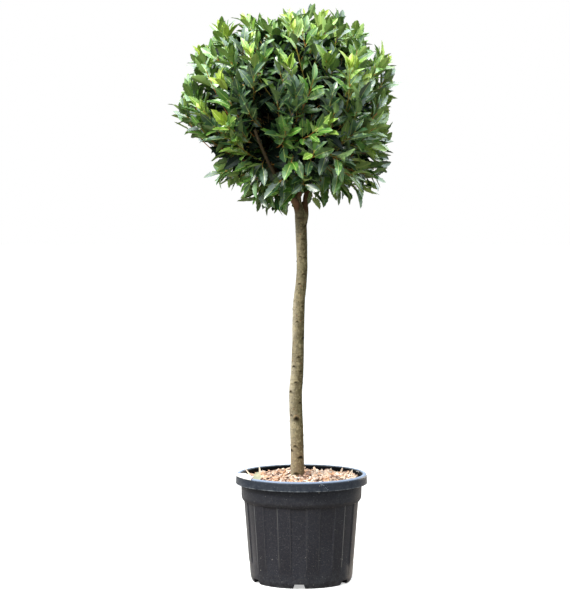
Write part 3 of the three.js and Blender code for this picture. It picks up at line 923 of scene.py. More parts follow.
chipShapes = shapeSet("chip", [chipShape(s) for s in range(mulch["shapes"])])
chipTree = buildChipTree()
for name, colour, density, tilt, seed in mulch["chips"]:
    chips = runTree(makeChipField(name + "Field"), chipTree, {
        "Shapes": chipShapes,
        "Per Square Metre": float(density),
        "Shortest": mulch["chipLength"][0],
        "Longest": mulch["chipLength"][1],
        "Tilt": tilt,
        "Seed": seed,
        "Finish": chipWood(name + "Wood", colour),
    }, name, sharpAbove=28)
    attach(chips, "root")
    print(name, len(chips.data.polygons))
dropSet(chipShapes)


def placeShape(shape, place, along, upper, scale):  # a shape's points, turned and put in place
    side = upper.cross(along).normalized()
    upper = along.cross(side).normalized()
    turn = Matrix((along * scale.x, side * scale.y, upper * scale.z)).transposed()
    return [place + turn @ Vector(p) for p in shape[0]], shape[1]


def makeStandingChips():
    parts = []
    for i, (x, y, length, width, lean) in enumerate(mulch["standing"]):
        shape = chipShape(60 + i)
        wide = max(p[1] for p in shape[0]) - min(p[1] for p in shape[0])
        along = Vector((-math.sin(math.radians(lean)), 0.18, math.cos(math.radians(lean)))).normalized()
        whole = length + mulch["buried"]
        place = Vector((x, y, mulchHeight(x, y))) + along * ((whole - mulch["buried"]) / 2)
        scale = Vector((whole, width / wide, mulch["standingThick"]))
        parts.append(placeShape(shape, place, along, Vector((0.1, -1, 0)), scale))
    fresh = newMaterial("chipsStandingWood", "#f4e4cd", 0.82)
    piece = newPiece("chipsStanding", *joinParts(parts), fresh, sharpAbove=28)
    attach(piece, "root")


makeStandingChips()
print("mulch done")


# The trunk and its boughs, from the same sizes as the solids.
trunk = {
    # height, sideways, depth, radius in millimetres
    "stations": (
        (274.3, -10.5, 0, 23.5), (288, -10.9, 0, 21.6), (312, -11.5, 0, 20.4), (374, -12.4, 1, 19.4),
        (432, -13.7, 2, 19.2), (500, -16.6, 3, 19.1), (545, -16.9, 3, 19.0), (600, -12.9, 2, 18.3),
        (665, -10.2, 0, 17.6), (751, -9.0, -3, 17.4), (809, -7.0, -4, 17.0), (853, -1.8, -4, 16.2),
        (900, 1.2, -3, 15.9), (960, 0.6, -1, 16.2), (1020, -1.6, 0, 16.8), (1050, -2.4, 0, 17.4),
        (1066, -3.2, 0, 15), (1082, -4.4, 0, 9), (1092, -5, 0, 4),
    ),
    "voxel": 0.0019,
    "relief": 0.0006,
    # noises that it is made of: how close across and along the stem, and how strong; rings only stand out
    "noises": {"fine": (210, 60, 0.55), "broad": (60, 22, 0.9), "rings": (90, 330, 0.35)},
    "girthNoise": (0.025, 21),
    "footBelow": (0.46, 0.12),  # where the stem's foot browns, and over what height
}
scars = {
    # knots and scars: sideways and height in millimetres, size, and how far each stands out
    "front": (
        (-6, 1046, 5, 0.15), (12, 1024, 5, 0.3), (4, 986, 4.5, 0.3), (-5, 936, 3.5, 0.5), (9, 934, 3, 0.4),
        (6, 886, 4, 0.5), (-7, 858, 4, 0.5), (2, 793, 4, 0.4), (-13, 749, 4, 0.5), (5, 702, 4.5, 0.5),
        (-9, 647, 4, 0.5), (-22, 620, 4.5, 0.6), (-3, 606, 3.5, 0.4), (-17, 574, 4, 0.5),
        (0, 558, 3.5, 0.4), (-30, 547, 5, 0.7), (-5, 515, 4, 0.5), (-28, 479, 4, 0.5), (-15, 469, 7.5, 1.0),
        (-18, 390, 4.5, 0.6), (-27, 377, 5, 0.7), (-4, 358, 7, 0.6), (-15, 311, 7, 0.6),
    ),
    "stemRadius": 0.0175,
    "behind": 30,
    "behindRadius": 0.017,
    "behindRange": (320, 1040),
    "behindSize": (3.5, 6),
    "behindRise": (0.3, 0.8),
    "seed": 31,
    "droop": 0.3,  # how far its ends hang
    "flat": (2.7, 1.35),  # the faint ones are thin lines
    "narrow": (0.78, 0.3),
    "wall": (0.0013, 0.85, 0.5),  # how high, and in the scar's own size how far out and how wide
    "pit": (0.0011, 0.42),  # how deep and how wide
    "stain": 1.35,  # how far it reaches
    "brow": (1.6, 0.35),  # the pale lip above: how far out and how wide
    "reach": 2.6,  # of all of it
}
crown = {
    "centre": Vector((-0.038, 0, 1.355)),
    "radii": (0.322, 0.312, 0.298),
    "power": 2.25,
    "lowerSkew": 0.24,
    "limit": 1.03,
    # shoots that stand out of it: degrees round the front view, depth and millimetres
    "strays": (
        (179, 0.0, 342), (14, 0.1, 330), (29, -0.1, 338), (49, 0.1, 332), (60, -0.1, 332),
        (77, 0.1, 316), (88, -0.1, 296), (112, 0.1, 302), (128, 0.1, 338), (132, -0.2, 334),
        (154, -0.1, 324), (168, 0.1, 318), (322, -0.1, 350), (314, 0.1, 360), (336, 0.1, 330),
        (224, -0.1, 306), (252, 0.1, 308), (262, -0.2, 304),
        (63, 0.5, 322), (140, -0.6, 320), (20, -0.7, 322),
        (200, 0.7, 316), (100, 0.7, 312), (350, 0.7, 318), (240, 0.6, 306), (300, 0.6, 318),
    ),
    # how far the crown reaches in the front view: degrees round from the right, and millimetres
    "front": (
        (0, 286), (7, 302), (14, 328), (28, 336), (35, 312), (49, 330), (63, 328), (70, 300), (77, 314),
        (84, 290), (98, 266), (105, 296), (119, 308), (129, 338), (140, 302), (147, 330), (161, 308),
        (168, 316), (175, 312), (182, 340), (189, 310), (203, 246), (210, 262), (217, 286), (224, 306),
        (238, 288), (252, 310), (266, 304), (287, 298), (301, 304), (308, 318), (315, 360), (322, 344),
        (336, 330), (350, 310), (357, 300), (360, 286),
    ),
}
frontLimb = {  # shows between the leaves, low on the left
    "path": ((-0.041, -0.026, 1.118), (-0.088, -0.125, 1.172), (-0.132, -0.170, 1.292)),
    "radii": (0.0056, 0.0042),
    "shown": (0.42, 0.96),  # the stretch that leaves keep clear of, in front of it
    "clear": 0.016,
}
boughs = {
    "tipShare": 0.56,
    "reachOfBend": 0.42,
    # how the limbs leave the stem: sideways, depth, height and radius in millimetres
    "fork": {
        "top": ((-1, -4, 1015, 13), (-4, -8, 1056, 12.6), (-9.8, -9, 1086, 10.4), (-10.6, -7, 1105, 8),
                (-6.4, -2, 1125, 7.6), (2, 2, 1150, 6.8)),
        "upper_left": ((-1, 0, 1020, 12), (-7, -6, 1056, 12.4), (-16, -14, 1087, 9.6),
                       (-28, -21, 1101, 8.6), (-41, -26, 1118, 7.6)),
        "upper_right": ((3, 2, 1020, 11), (10.2, 0, 1050, 9.6), (11, 1, 1071.5, 8.6), (10, 2, 1097, 7.4),
                        (14, 6, 1120, 6.8)),
        "upper_back": ((-2, 8, 1020, 11), (-4, 15, 1060, 10), (-8, 22, 1090, 8.6), (-10, 34, 1130, 8)),
        "lower_left": ((-26, -20, 1100, 6.6), (-41, -26, 1118, 6.6)),
        "lower_front": ((-26, -20, 1100, 6.6), (-40, -27, 1118, 6.6)),
        "lower_right": ((10, 2, 1094, 6.4), (14, 6, 1118, 6.6)),
        "lower_back": ((-6, 18, 1080, 6.4), (-10, 34, 1120, 6.6)),
    },
    # where each one's tip lies, as azimuth, polar and share of the crown, and how far it leans at its foot
    "tips": {
        "top": (0, 0, 0.38, 0),
        "upper_left": (206, 60, 0.41, 27),
        "upper_right": (326, 62, 0.41, 27),
        "upper_back": (86, 62, 0.41, 27),
        "lower_left": (176, 118, 0.43, 56),
        "lower_front": (264, 120, 0.43, 56),
        "lower_right": (352, 120, 0.43, 56),
        "lower_back": (86, 120, 0.43, 56),
    },
    # heights over which the limbs redden, and the middle one does; and how wide and dark the painted shade in
    # the creases between the limbs is
    "redFrom": (1.056, 0.02),
    "topRedFrom": (1.098, 0.012),
    "crease": 0.0026,
    "shaded": 0.7,  # how much painted shade darkens the limb on the right
}


def direction(azimuth, polar):
    a, p = math.radians(azimuth), math.radians(polar)
    return Vector((math.sin(p) * math.cos(a), math.sin(p) * math.sin(a), math.cos(p)))


def reach(d):
    total = sum(abs(c / r) ** crown["power"] for c, r in zip(d, crown["radii"]))
    return total ** (-1 / crown["power"]) * (1 + crown["lowerSkew"] * d.x * max(0, -d.z))


def inCrown(d, share):
    return crown["centre"] + d * (reach(d) * share)


def trunkAt(z):
    rows = trunk["stations"]
    for a, b in zip(rows, rows[1:]):
        if z <= b[0]:
            t = (z - a[0]) / (b[0] - a[0])
            return Vector((a[1] + (b[1] - a[1]) * t, a[2] + (b[2] - a[2]) * t, z)) / 1000
    return Vector((rows[-1][1], rows[-1][2], z)) / 1000


def bent(a, b, c, t):  # a point on the curve from a to c that leaves towards b
    return a * (1 - t) ** 2 + b * (2 * t * (1 - t)) + c * t ** 2


def listBoughs():
    rows = []
    for name, (azimuth, polar, tip, lean) in boughs["tips"].items():
        d = direction(azimuth, polar)
        root = [Vector(p[:3]) / 1000 for p in boughs["fork"][name]]
        start, end = root[-1], inCrown(d, tip)
        away = (root[-1] - root[-2]).normalized() + direction(azimuth, lean)
        bend = start + away.normalized() * ((end - start).length * boughs["reachOfBend"])
        girths = [p[3] / 1000 for p in boughs["fork"][name]]
        curve = (start, bend, end)
        rows.append({"name": name, "direction": d, "root": root, "girths": girths, "curve": curve})
    return rows


boughRows = listBoughs()


def tube(points, radii, sides):  # one closed tube: its points and faces
    rings = []
    across = (points[1] - points[0]).normalized().orthogonal().normalized()
    for i, (p, r) in enumerate(zip(points, radii)):
        ahead = (points[min(i + 1, len(points) - 1)] - points[max(i - 1, 0)]).normalized()
        across = (across - ahead * across.dot(ahead)).normalized()
        other = ahead.cross(across)
        turns = [2 * math.pi * k / sides for k in range(sides)]
        rings.append([p + across * (r * math.cos(a)) + other * (r * math.sin(a)) for a in turns])
    return skin(rings)


def smoothLine(rows, count):  # Catmull-Rom through rows of equal length
    rows = np.array(rows, float)
    padded = np.vstack([2 * rows[0] - rows[1], rows, 2 * rows[-1] - rows[-2]])
    result = []
    spans = len(rows) - 1
    for i in range(count + 1):
        s = min(i / count * spans, spans - 1e-9)
        k, t = int(s), s - int(s)
        p0, p1, p2, p3 = padded[k:k + 4]
        square = 2 * p0 - 5 * p1 + 4 * p2 - p3
        cube = 3 * p1 - p0 - 3 * p2 + p3
        result.append(0.5 * (2 * p1 + (p2 - p0) * t + square * t ** 2 + cube * t ** 3))
    return np.array(result)


def makeBark():
    line = smoothLine(trunk["stations"], 150) / 1000
    middle = [Vector((x, y, z)) for z, x, y, r in line]
    uneven, closeness = trunk["girthNoise"]
    girth = [r * (1 + uneven * noise.noise(Vector((0, 0, z * closeness)))) for z, x, y, r in line]
    parts = [tube(middle, girth, 40)]
    steps = 30
    for row in boughRows:
        root = smoothLine([(*p, r) for p, r in zip(row["root"], row["girths"])], 6 * len(row["root"]))
        shares = [i / steps for i in range(1, steps + 1)]
        path = [Vector(p[:3]) for p in root] + [bent(*row["curve"], t) for t in shares]
        thins = [row["girths"][-1] * (1 - (1 - boughs["tipShare"]) * t) for t in shares]
        parts.append(tube(path, [p[3] for p in root] + thins, 18))
    bark = newPiece("barkWood", *joinParts(parts))
    fuse = bark.modifiers.new("fuse", "REMESH")
    fuse.mode = "VOXEL"
    fuse.voxel_size = trunk["voxel"]
    ease = bark.modifiers.new("ease", "SMOOTH")
    ease.factor = 0.5
    ease.iterations = 7
    bakeModifiers(bark)
    return bark


def scarList():
    pick = random.Random(scars["seed"])
    radius = scars["stemRadius"]
    marks = []
    for x, z, size, rise in scars["front"]:
        axis = trunkAt(z)
        across = max(-0.95, min(0.95, (x / 1000 - axis.x) / radius))
        p = axis + Vector((across * radius, -math.sqrt(1 - across ** 2) * radius, 0))
        marks.append((p, size / 1000, rise))
    for i in range(scars["behind"]):
        z = pick.uniform(*scars["behindRange"])
        a = pick.uniform(-0.25, math.pi + 0.25)
        p = trunkAt(z) + Vector((math.cos(a), math.sin(a), 0)) * scars["behindRadius"]
        marks.append((p, pick.uniform(*scars["behindSize"]) / 1000, pick.uniform(*scars["behindRise"])))
    return marks


def limbMarks(points):  # which limb each point of the fork is on, and the painted shade in the creases between them and on the limb on the right
    near = np.full((len(boughRows), len(points)), 9.0)
    for k, row in enumerate(boughRows):
        for p, r in zip(smoothLine(row["root"], 24), smoothLine([(r,) for r in row["girths"]], 24)):
            near[k] = np.minimum(near[k], np.linalg.norm(points - p, axis=1) - r[0])
    order = np.sort(near, axis=0)
    names = [row["name"] for row in boughRows]
    closest = near.argmin(0)
    heights = points[:, 2]
    high = np.clip((heights - boughs["redFrom"][0]) / boughs["redFrom"][1], 0, 1)
    topHigh = np.clip((heights - boughs["topRedFrom"][0]) / boughs["topRedFrom"][1], 0, 1)
    red = np.where(closest == names.index("top"), topHigh, 1.0) * high
    # painted shade: the limb on the right lies in shadow
    dark = np.where(closest == names.index("upper_right"), boughs["shaded"], 0.0) * high
    crease = np.clip(1 - (order[1] - order[0]) / boughs["crease"], 0, 1) * high
    return red, np.maximum(dark, crease)


def barkRelief(point):
    total = 0
    for name, (across, along, strong) in trunk["noises"].items():
        x, y, z = point
        swell = noise.noise(Vector((x * across, y * across, z * along))) * strong
        total += max(0, swell) if name == "rings" else swell
    return trunk["relief"] * total


def carveBark(bark):  # relief and scars
    mesh = bark.data
    points, normals = vertexTable(mesh, "co"), vertexTable(mesh, "normal")
    amount = np.array([barkRelief(p) for p in points])
    dark = np.zeros(len(points))
    lip = np.zeros(len(points))
    for centre, size, rise in scarList():
        gap = points - np.array(centre)
        above = gap[:, 2] / size
        aside = np.hypot(gap[:, 0], gap[:, 1])
        drooped = gap[:, 2] + scars["droop"] * aside ** 2 / size
        gap[:, 2] = drooped * (scars["flat"][0] - scars["flat"][1] * rise)
        gap[:, 0] *= scars["narrow"][0] + scars["narrow"][1] * rise
        away = np.sqrt((gap ** 2).sum(1)) / size
        near = away < scars["reach"]
        away, above = away[near], above[near]
        high, out, wide = scars["wall"]
        amount[near] += high * rise * np.exp(-((away - out) / wide) ** 2)
        deep, wide = scars["pit"]
        amount[near] -= deep * rise * np.exp(-(away / wide) ** 2)
        stain = np.exp(-(away / scars["stain"]) ** 3) * min(1, 0.5 + rise)
        dark[near] = np.maximum(dark[near], stain)
        out, wide = scars["brow"]
        brow = np.exp(-((away - out) / wide) ** 2) * np.clip(above * 3, 0, 1)
        lip[near] = np.maximum(lip[near], brow * rise)
    storePoints(mesh, points + normals * amount[:, None])
    rows = np.array(trunk["stations"]) / 1000
    heights = points[:, 2]
    # across the stem, 0 at its left edge and 1 at its right, for painted light and shade
    side = np.clip((points[:, 0] - np.interp(heights, rows[:, 0], rows[:, 1])) / 0.036 + 0.5, 0, 1)
    top, run = trunk["footBelow"]
    red, crease = limbMarks(points)
    foot = np.clip((top - heights) / run, 0, 1)
    storeMarks(mesh, scar=dark, lip=lip, side=side, foot=foot, fork=red, crease=crease)
    mesh.polygons.foreach_set("use_smooth", [True] * len(mesh.polygons))


def barkLook(name, base):
    look = Surface(name, base, 0.8, {"Specular IOR Level": 0.2})
    side = look.attribute("side")  # 0 at the left edge, painted pale with light, 1 at the right one, painted a darker green with shade
    look.blend(look.patch(grain, Scale=11.0, Low=0.38, High=0.66, Stretch=(1, 1, 0.5)), "#73694d")
    look.blend(look.patch(grain, Scale=22.0, Low=0.45, High=0.7, Stretch=(1, 1, 0.8)), "#5c5c3a", 0.6)
    look.blend(look.patch(grain, Scale=30.0, Low=0.42, High=0.7, Stretch=(1, 1, 0.4)), "#544b31", 0.6)
    # painted shade towards the right side of the stem
    look.blend(look.math("POWER", side, 1.3), "#4a4729", 0.4)
    # painted light along the left side of the stem, broken up by the grain
    paintedLight = look.math("MULTIPLY", look.math("POWER", look.math("SUBTRACT", 1.0, side), 3.0), 1.05)
    uneven = look.patch(grain, Scale=26.0, Low=0.25, High=0.6, Stretch=(1, 1, 0.4))
    look.blend(look.math("MULTIPLY", paintedLight, uneven), "#d0c7b0")
    pale = look.patch(grain, Scale=62.0, Low=0.48, High=0.68, Stretch=(1, 1, 0.7))
    look.blend(pale, "#b5aa86", 0.45)
    look.blend(look.attribute("foot"), "#7e6550", 0.4)
    look.blend(look.patch(grain, Scale=130.0, Low=0.5, High=0.66), "#b3a780", 0.5)
    streak = look.patch(grain, Scale=170.0, Low=0.48, High=0.72, Stretch=(1, 1, 0.3))
    look.blend(streak, "#453d2a", 0.42)
    look.blend(look.patch(grain, Scale=46.0, Low=0.52, High=0.66, Stretch=(0.5, 0.5, 5)), "#4d432e", 0.3)
    look.blend(look.patch(specks, Scale=150.0, Size=0.4), "#3c321d", 0.45)
    look.blend(look.patch(specks, Scale=85.0, Size=0.2), "#8a4a30", 0.6)
    look.blend(look.attribute("fork"), "#8a5d45", 0.7)
    # painted shade in the fork's creases and on its right limb
    look.blend(look.attribute("crease"), "#33251a", 0.8)
    look.blend(look.attribute("lip"), "#b3906c", 0.45)
    look.blend(look.attribute("scar"), "#1a1209", 0.97)
    look.drive("Specular IOR Level", look.attribute("scar"), 0.16, 0.0)
    rough = look.math("ADD", look.math("MULTIPLY", streak, 0.5), look.math("MULTIPLY", pale, 0.3))
    look.bump(rough, 0.0009, 0.8)
    return look.material


barkWood = makeBark()
carveBark(barkWood)
barkMaterial = barkLook("bayBark", "#655c41")
barkWood.data.materials.clear()
barkWood.data.materials.append(barkMaterial)
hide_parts("trunk", *["bough_" + row["name"] for row in boughRows])
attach(barkWood, "root")
print("bark", len(barkWood.data.polygons))


# The crown: from each bough's tip branches fork to twigs, and twigs to leafy shoots.
growth = {
    "branches": 60,
    "shoots": 245,
    "innerShoots": 170,
    "branchShare": 0.42,
    "branchRadii": (0.0042, 0.0026),
    "branchLead": 0.4,  # how far a branch goes on as its bough did
    "twigLead": 0.35,
    "twigRadius": 0.0026,
    "shootRadii": (0.0017, 0.0011),
    "shootLength": (0.12, 0.18),
    "innerShare": (0.52, 0.72),
    "innerRadii": (0.0018, 0.0012),
    "strayTip": 0.13,  # what the last leaf adds to a shoot that stands out
    "thinBelow": 0.55,  # share of the shoots that the underside lacks
    "drawnIn": 0.17,  # how far short of the furthest tip a shoot may stay
    "tipLeaf": 0.10,  # what the last leaf adds to a shoot, as a share of the crown
    "sag": 0.13,
    "way": (0.4, 0.42, 0.85),  # a shoot's way: outwards, sideways and up
    "risesFrom": (-0.55, 0.7),  # where up begins to count, and over what share of the crown
    "loose": (0.3, 0.15),  # how far it strays from that way, and how much further below
    "fullFork": (-0.6, -0.1, 0.3),  # no shoot is left out here: below, to the left, and how wide
    "thinFrom": (-0.25, 0.45),
    "closedBelow": -0.75,  # no inner shoots under this
    "leaves": (8, 11),
    "innerLeaves": (7, 9),
    "spread": (60, 24),  # degrees from the shoot, at its foot and at its tip
    "seed": 7,
}


def evenDirections(count, offset, jitter, pick):
    rows = []
    for i in range(count):
        z = 1 - 2 * (i + 0.5) / count
        ring = math.sqrt(1 - z * z)
        a = i * goldenAngle + offset
        d = Vector((ring * math.cos(a), ring * math.sin(a), z))
        d += Vector((pick.uniform(-1, 1), pick.uniform(-1, 1), pick.uniform(-1, 1))) * jitter
        rows.append(d.normalized())
    return rows


def nearest(d, rows):
    return max(rows, key=lambda row: row["direction"].dot(d))


def limitAt(d):  # the furthest that a leaf's tip may reach, as a share of the crown
    angle = math.degrees(math.atan2(d.z, d.x)) % 360
    front = float(np.interp(angle, *zip(*crown["front"]))) / 1000
    flat = math.hypot(d.x, d.z)  # how much of it the front view shows
    return min(crown["limit"], front / (reach(d) * max(flat, 0.2)))


def growBranch(d, share):
    bough = nearest(d, boughRows)
    foot, tip = bough["curve"][2], inCrown(d, share)
    along = (bough["curve"][2] - bough["curve"][1]).normalized()
    bend = foot + along * ((tip - foot).length * growth["branchLead"])
    return {"direction": d, "curve": (foot, bend, tip), "radii": growth["branchRadii"]}


def growthWay(d):  # shoots rise at the top and round the sides, and spread or hang below
    out, aside, rise = growth["way"]
    low, run = growth["risesFrom"]
    rise *= min(1, max(0, (d.z - low) / run))
    return (d * out + Vector((d.x, d.y, 0)) * aside + up * rise).normalized()


def growShoot(branches, d, share, pick, radii):
    tip = inCrown(d, share)
    loose = growth["loose"][0] + growth["loose"][1] * max(0, -d.z)
    way = growthWay(d) + Vector([pick.uniform(-loose, loose) for k in range(3)])
    length = pick.uniform(*growth["shootLength"])
    foot = tip - way.normalized() * length
    low = (foot - crown["centre"]).normalized()
    start = nearest(low, branches)["curve"]
    lead = start[2] + (start[2] - start[1]).normalized() * ((foot - start[2]).length * growth["twigLead"])
    bend = foot.lerp(tip, 0.5) + (d * (1 - abs(d.z)) - up * (0.5 - 0.5 * d.z)) * (length * growth["sag"])
    bend += d.cross(up) * (length * pick.uniform(-0.1, 0.1))
    shoot = {"direction": d, "curve": (foot, bend, tip), "radii": radii}
    twig = {"direction": low, "curve": (start[2], lead, foot), "radii": (growth["twigRadius"], radii[0])}
    return shoot, twig


def growCrown():
    pick = random.Random(growth["seed"])
    branches = []
    for d in evenDirections(growth["branches"], 0.3, 0.08, pick):
        branches.append(growBranch(d, growth["branchShare"] * pick.uniform(0.9, 1.08)))
    outer, inner = [], []
    low, left, wide = growth["fullFork"]
    start, run = growth["thinFrom"]
    for d in evenDirections(growth["shoots"], 2.0, 0.09, pick):
        overFork = d.z < low and d.y < 0 and abs(d.x - left) < wide
        if not overFork and pick.random() < growth["thinBelow"] * min(1, max(0, start - d.z) / run):
            continue
        short = pick.uniform(0, growth["drawnIn"]) * (0.45 + min(1, abs(d.y) / 0.6))
        share = limitAt(d) - growth["tipLeaf"] * growthWay(d).dot(d) - short
        outer.append(growShoot(branches, d, share, pick, growth["shootRadii"]))
    for angle, depth, far in crown["strays"]:
        a, flat = math.radians(angle), math.sqrt(1 - depth ** 2)
        d = Vector((math.cos(a) * flat, depth, math.sin(a) * flat))
        limit = far / 1000 / reach(d)
        shoot, twig = growShoot(branches, d, limit - growth["strayTip"], pick, growth["shootRadii"])
        shoot["limit"] = limit
        outer.append((shoot, twig))
    for d in evenDirections(growth["innerShoots"], 4.0, 0.15, pick):
        if d.z >= growth["closedBelow"]:
            share = pick.uniform(*growth["innerShare"])
            inner.append(growShoot(branches, d, share, pick, growth["innerRadii"]))
    return branches, outer, inner


branches, outerGrowth, innerGrowth = growCrown()
shoots, innerShoots = [s for s, t in outerGrowth], [s for s, t in innerGrowth]


# A bay leaf: a blade folded along a pale rib, waved at its margin, on a short stalk.
leaf = {
    "length": (0.046, 0.068),
    # the rest is in shares of its length, and angles in radians
    "width": 0.41,
    "widths": (0.84, 1.12),
    "stalk": 0.12,
    "thick": 0.008,
    "rib": 0.0135,
    "fold": (0.14, 0.56),
    "twist": 0.6,
    "droop": (-0.05, 0.5),  # the first shapes are straight, the last ones droop
    "wave": (0.005, 0.014),
    "crimp": (0.004, 0.011),  # how far its margin is crimped
    "sway": 0.05,
    "stations": (0.02, 0.1, 0.19, 0.28, 0.37, 0.46, 0.55, 0.64, 0.73, 0.82, 0.91, 1),
    "coarse": (0.02, 0.18, 0.4, 0.62, 0.84, 1),
    "shapes": 16,
}
fallen = {  # a dry leaf that lies on the chips, against the rim
    "place": (-0.128, -0.118, 0.2975),
    "along": (0.06, 0.86, 0.5),
    "upper": (-0.1, -0.5, 0.85),
    "length": 0.044,
    "width": 0.058,
    "shape": 97,
}


def leafShape(seed, stations):  # faces of kind 0 are blade, 1 rib, 2 underside and 3 stalk
    pick = random.Random(seed)
    fold, twist = pick.uniform(*leaf["fold"]), pick.uniform(-leaf["twist"], leaf["twist"])
    wave, crimp, phase = pick.uniform(*leaf["wave"]), pick.uniform(*leaf["crimp"]), pick.uniform(0, 6.3)
    sway, width = pick.uniform(-leaf["sway"], leaf["sway"]), leaf["width"] * pick.uniform(*leaf["widths"])
    straight, most = leaf["droop"]
    droop = straight + most * (seed % leaf["shapes"]) / leaf["shapes"]
    outline = [(-leaf["stalk"], 0.012), (-0.02, 0.011)]
    outline += [(t, max(0.003, 0.5 * width * abs(math.sin(math.pi * t ** 0.92)) ** 0.75)) for t in stations]
    rings = []
    for i, (t, half) in enumerate(outline):
        t0, blade = max(0, t), 0 < t < 1
        beat = (1 if i % 2 else -1) * blade
        left = wave * math.sin(1.3 * i + phase) * blade + crimp * beat
        right = wave * math.sin(1.5 * i + phase + 2) * blade - crimp * beat
        rib = leaf["rib"] * (1 - 0.6 * t0) if 0 <= t < 1 else half * 0.5
        level = -droop * t0 ** 2 - 0.3 * min(0, t) ** 2
        edge = half * math.tan(fold) if t > 0 else 0
        thick = leaf["thick"] if t < 1 else 0.003
        row = [(-half * (1 + 0.1 * beat), edge + left), (-rib, 0.004), (rib, 0.004),
               (half * (1 - 0.1 * beat), edge + right), (rib * 0.8, -thick), (-rib * 0.8, -thick)]
        c, s = math.cos(twist * t0), math.sin(twist * t0)
        bowed = sway * math.sin(math.pi * t0)
        rings.append([(t + leaf["stalk"], y * c - z * s + bowed, y * s + z * c + level) for y, z in row])
    kinds = [3 if i < 2 else kind for i in range(len(rings) - 1) for kind in (0, 1, 0, 2, 1, 2)] + [3, 0]
    return *skin(rings, flipped=True), [("part", "INT", "FACE", np.array(kinds, np.int32))]


def buildLeafTree():
    tree, given, result = newGrowthTree(
        "setLeaves",
        [("Shapes", "NodeSocketCollection", None), ("Leaf Size", "NodeSocketFloat", 1.0),
         ("Blade", "NodeSocketMaterial", None), ("Rib", "NodeSocketMaterial", None),
         ("Underside", "NodeSocketMaterial", None), ("Stalk", "NodeSocketMaterial", None)],
    )
    n, l = tree.nodes, tree.links

    def stored(name, kind):
        node = n.new("GeometryNodeInputNamedAttribute")
        node.data_type = kind
        node.inputs["Name"].default_value = name
        return node.outputs["Attribute"]

    pick = n.new("GeometryNodeCollectionInfo")
    pick.inputs["Separate Children"].default_value = True
    pick.inputs["Reset Children"].default_value = True
    place = n.new("GeometryNodeInstanceOnPoints")
    place.inputs["Pick Instance"].default_value = True
    size = n.new("ShaderNodeMath")
    size.operation = "MULTIPLY"
    real = n.new("GeometryNodeRealizeInstances")
    l.new(given.outputs["Geometry"], place.inputs["Points"])
    l.new(given.outputs["Shapes"], pick.inputs["Collection"])
    l.new(pick.outputs[0], place.inputs["Instance"])
    l.new(stored("shape", "INT"), place.inputs["Instance Index"])
    l.new(stored("turn", "FLOAT_VECTOR"), place.inputs["Rotation"])
    l.new(stored("size", "FLOAT"), size.inputs[0])
    l.new(given.outputs["Leaf Size"], size.inputs[1])
    l.new(size.outputs[0], place.inputs["Scale"])
    l.new(place.outputs["Instances"], real.inputs["Geometry"])
    last = real.outputs["Geometry"]
    for number, label in enumerate(("Blade", "Rib", "Underside", "Stalk")):
        same = n.new("FunctionNodeCompare")
        same.data_type = "INT"
        same.operation = "EQUAL"
        same.inputs[3].default_value = number
        l.new(stored("part", "INT"), same.inputs[2])
        finish = n.new("GeometryNodeSetMaterial")
        l.new(last, finish.inputs["Geometry"])
        l.new(same.outputs["Result"], finish.inputs["Selection"])
        l.new(given.outputs[label], finish.inputs["Material"])
        last = finish.outputs["Geometry"]
    l.new(last, result.inputs["Geometry"])
    return tree


def leafTurn(along, upper):
    side = upper.cross(along).normalized()
    upper = along.cross(side).normalized()
    return Matrix((along, side, upper)).transposed().to_euler()


class LeafPoints:  # the leaves of one finish, before they get their shape
    def __init__(self):
        self.places, self.turns, self.sizes, self.shapes = [], [], [], []

    def add(self, place, along, upper, size, shape):
        self.places.append(tuple(place))
        self.turns.append(tuple(leafTurn(along, upper)))
        self.sizes.append(size)
        self.shapes.append(shape)

    def piece(self, name):
        mesh = bpy.data.meshes.new(name)
        mesh.from_pydata(self.places, [], [])
        addAttribute(mesh, "turn", "FLOAT_VECTOR", np.array(self.turns, np.float32))
        addAttribute(mesh, "size", "FLOAT", np.array(self.sizes, np.float32))
        addAttribute(mesh, "shape", "INT", np.array(self.shapes, np.int32))
        return finishPiece(name, mesh, smooth=False)


finishes = {
    # share of the shoots, and how it goes at the crown's waist and above, the darker tones weighted below and
    # the paler above partly for the leaves' age and partly as painted shade below and light above; blade, rib
    # and underside, the underside paler than the blade, partly its own colour and partly painted light
    # shining through;
    # roughness and gloss of the blade
    "Deep": (0.30, 1.3, -0.9, "#274b27", "#a3b86a", "#76945a", 0.34, 0.95),
    "Full": (0.44, 1, 0, "#4b7929", "#bccb72", "#88a85c", 0.34, 0.8),
    "Fresh": (0.20, 1, 1.2, "#719637", "#d6df84", "#9cb962", 0.36, 0.35),
    "Young": (0.04, 1, 0.9, "#98b33c", "#e6ec92", "#b3c85c", 0.42, 0.2),
}
# painted shade: the leaves inside the crown are coloured near black for the shade they sit in
shadedInnerFinish = (("blade", "#0e1e16", 0.5), ("rib", "#33442a", 0.6), ("under", "#243620", 0.65))
pose = {  # how a leaf leaves its shoot and turns
    "lift": (0.15, -0.1),  # up, and in the lower part of the crown down
    "liftAbove": -0.35,
    "outwards": 0.12,
    "tries": 7,
    "turnIn": 0.14,  # where its tip would pass the crown's edge
    "shorten": 0.975,
    "over": 0.015,  # how far it may still pass it
    "face": (0.35, 0.7, 0.5, 0.9),  # it faces along the shoot, outwards, up, and further up below
    "loose": 0.4,
}
clearance = {
    "bough": 0.018,
    "stem": 0.034,
    "stemBelow": 1.15,
    # leaves leave the fork open to the front: sideways from the stem, top and depth behind the stem
    "fork": (-0.032, 0.02, 1.114, 0.02),
    # and the sky between its limbs: sideways, and height
    "sky": (-0.002, 0.012, 1.096, 1.120),
}


def hidesLimb(p):
    a, b, c = [Vector(q) for q in frontLimb["path"]]
    low, high = frontLimb["shown"]
    for i in range(9):
        q = bent(a, b, c, low + (high - low) * i / 8)
        if p.y < q.y + 0.01 and math.hypot(p.x - q.x, p.z - q.z) < frontLimb["clear"]:
            return True
    return False


def bareOverLimb(row):
    return sum(hidesLimb(bent(*row["curve"], k / 6)) for k in range(7)) > 1


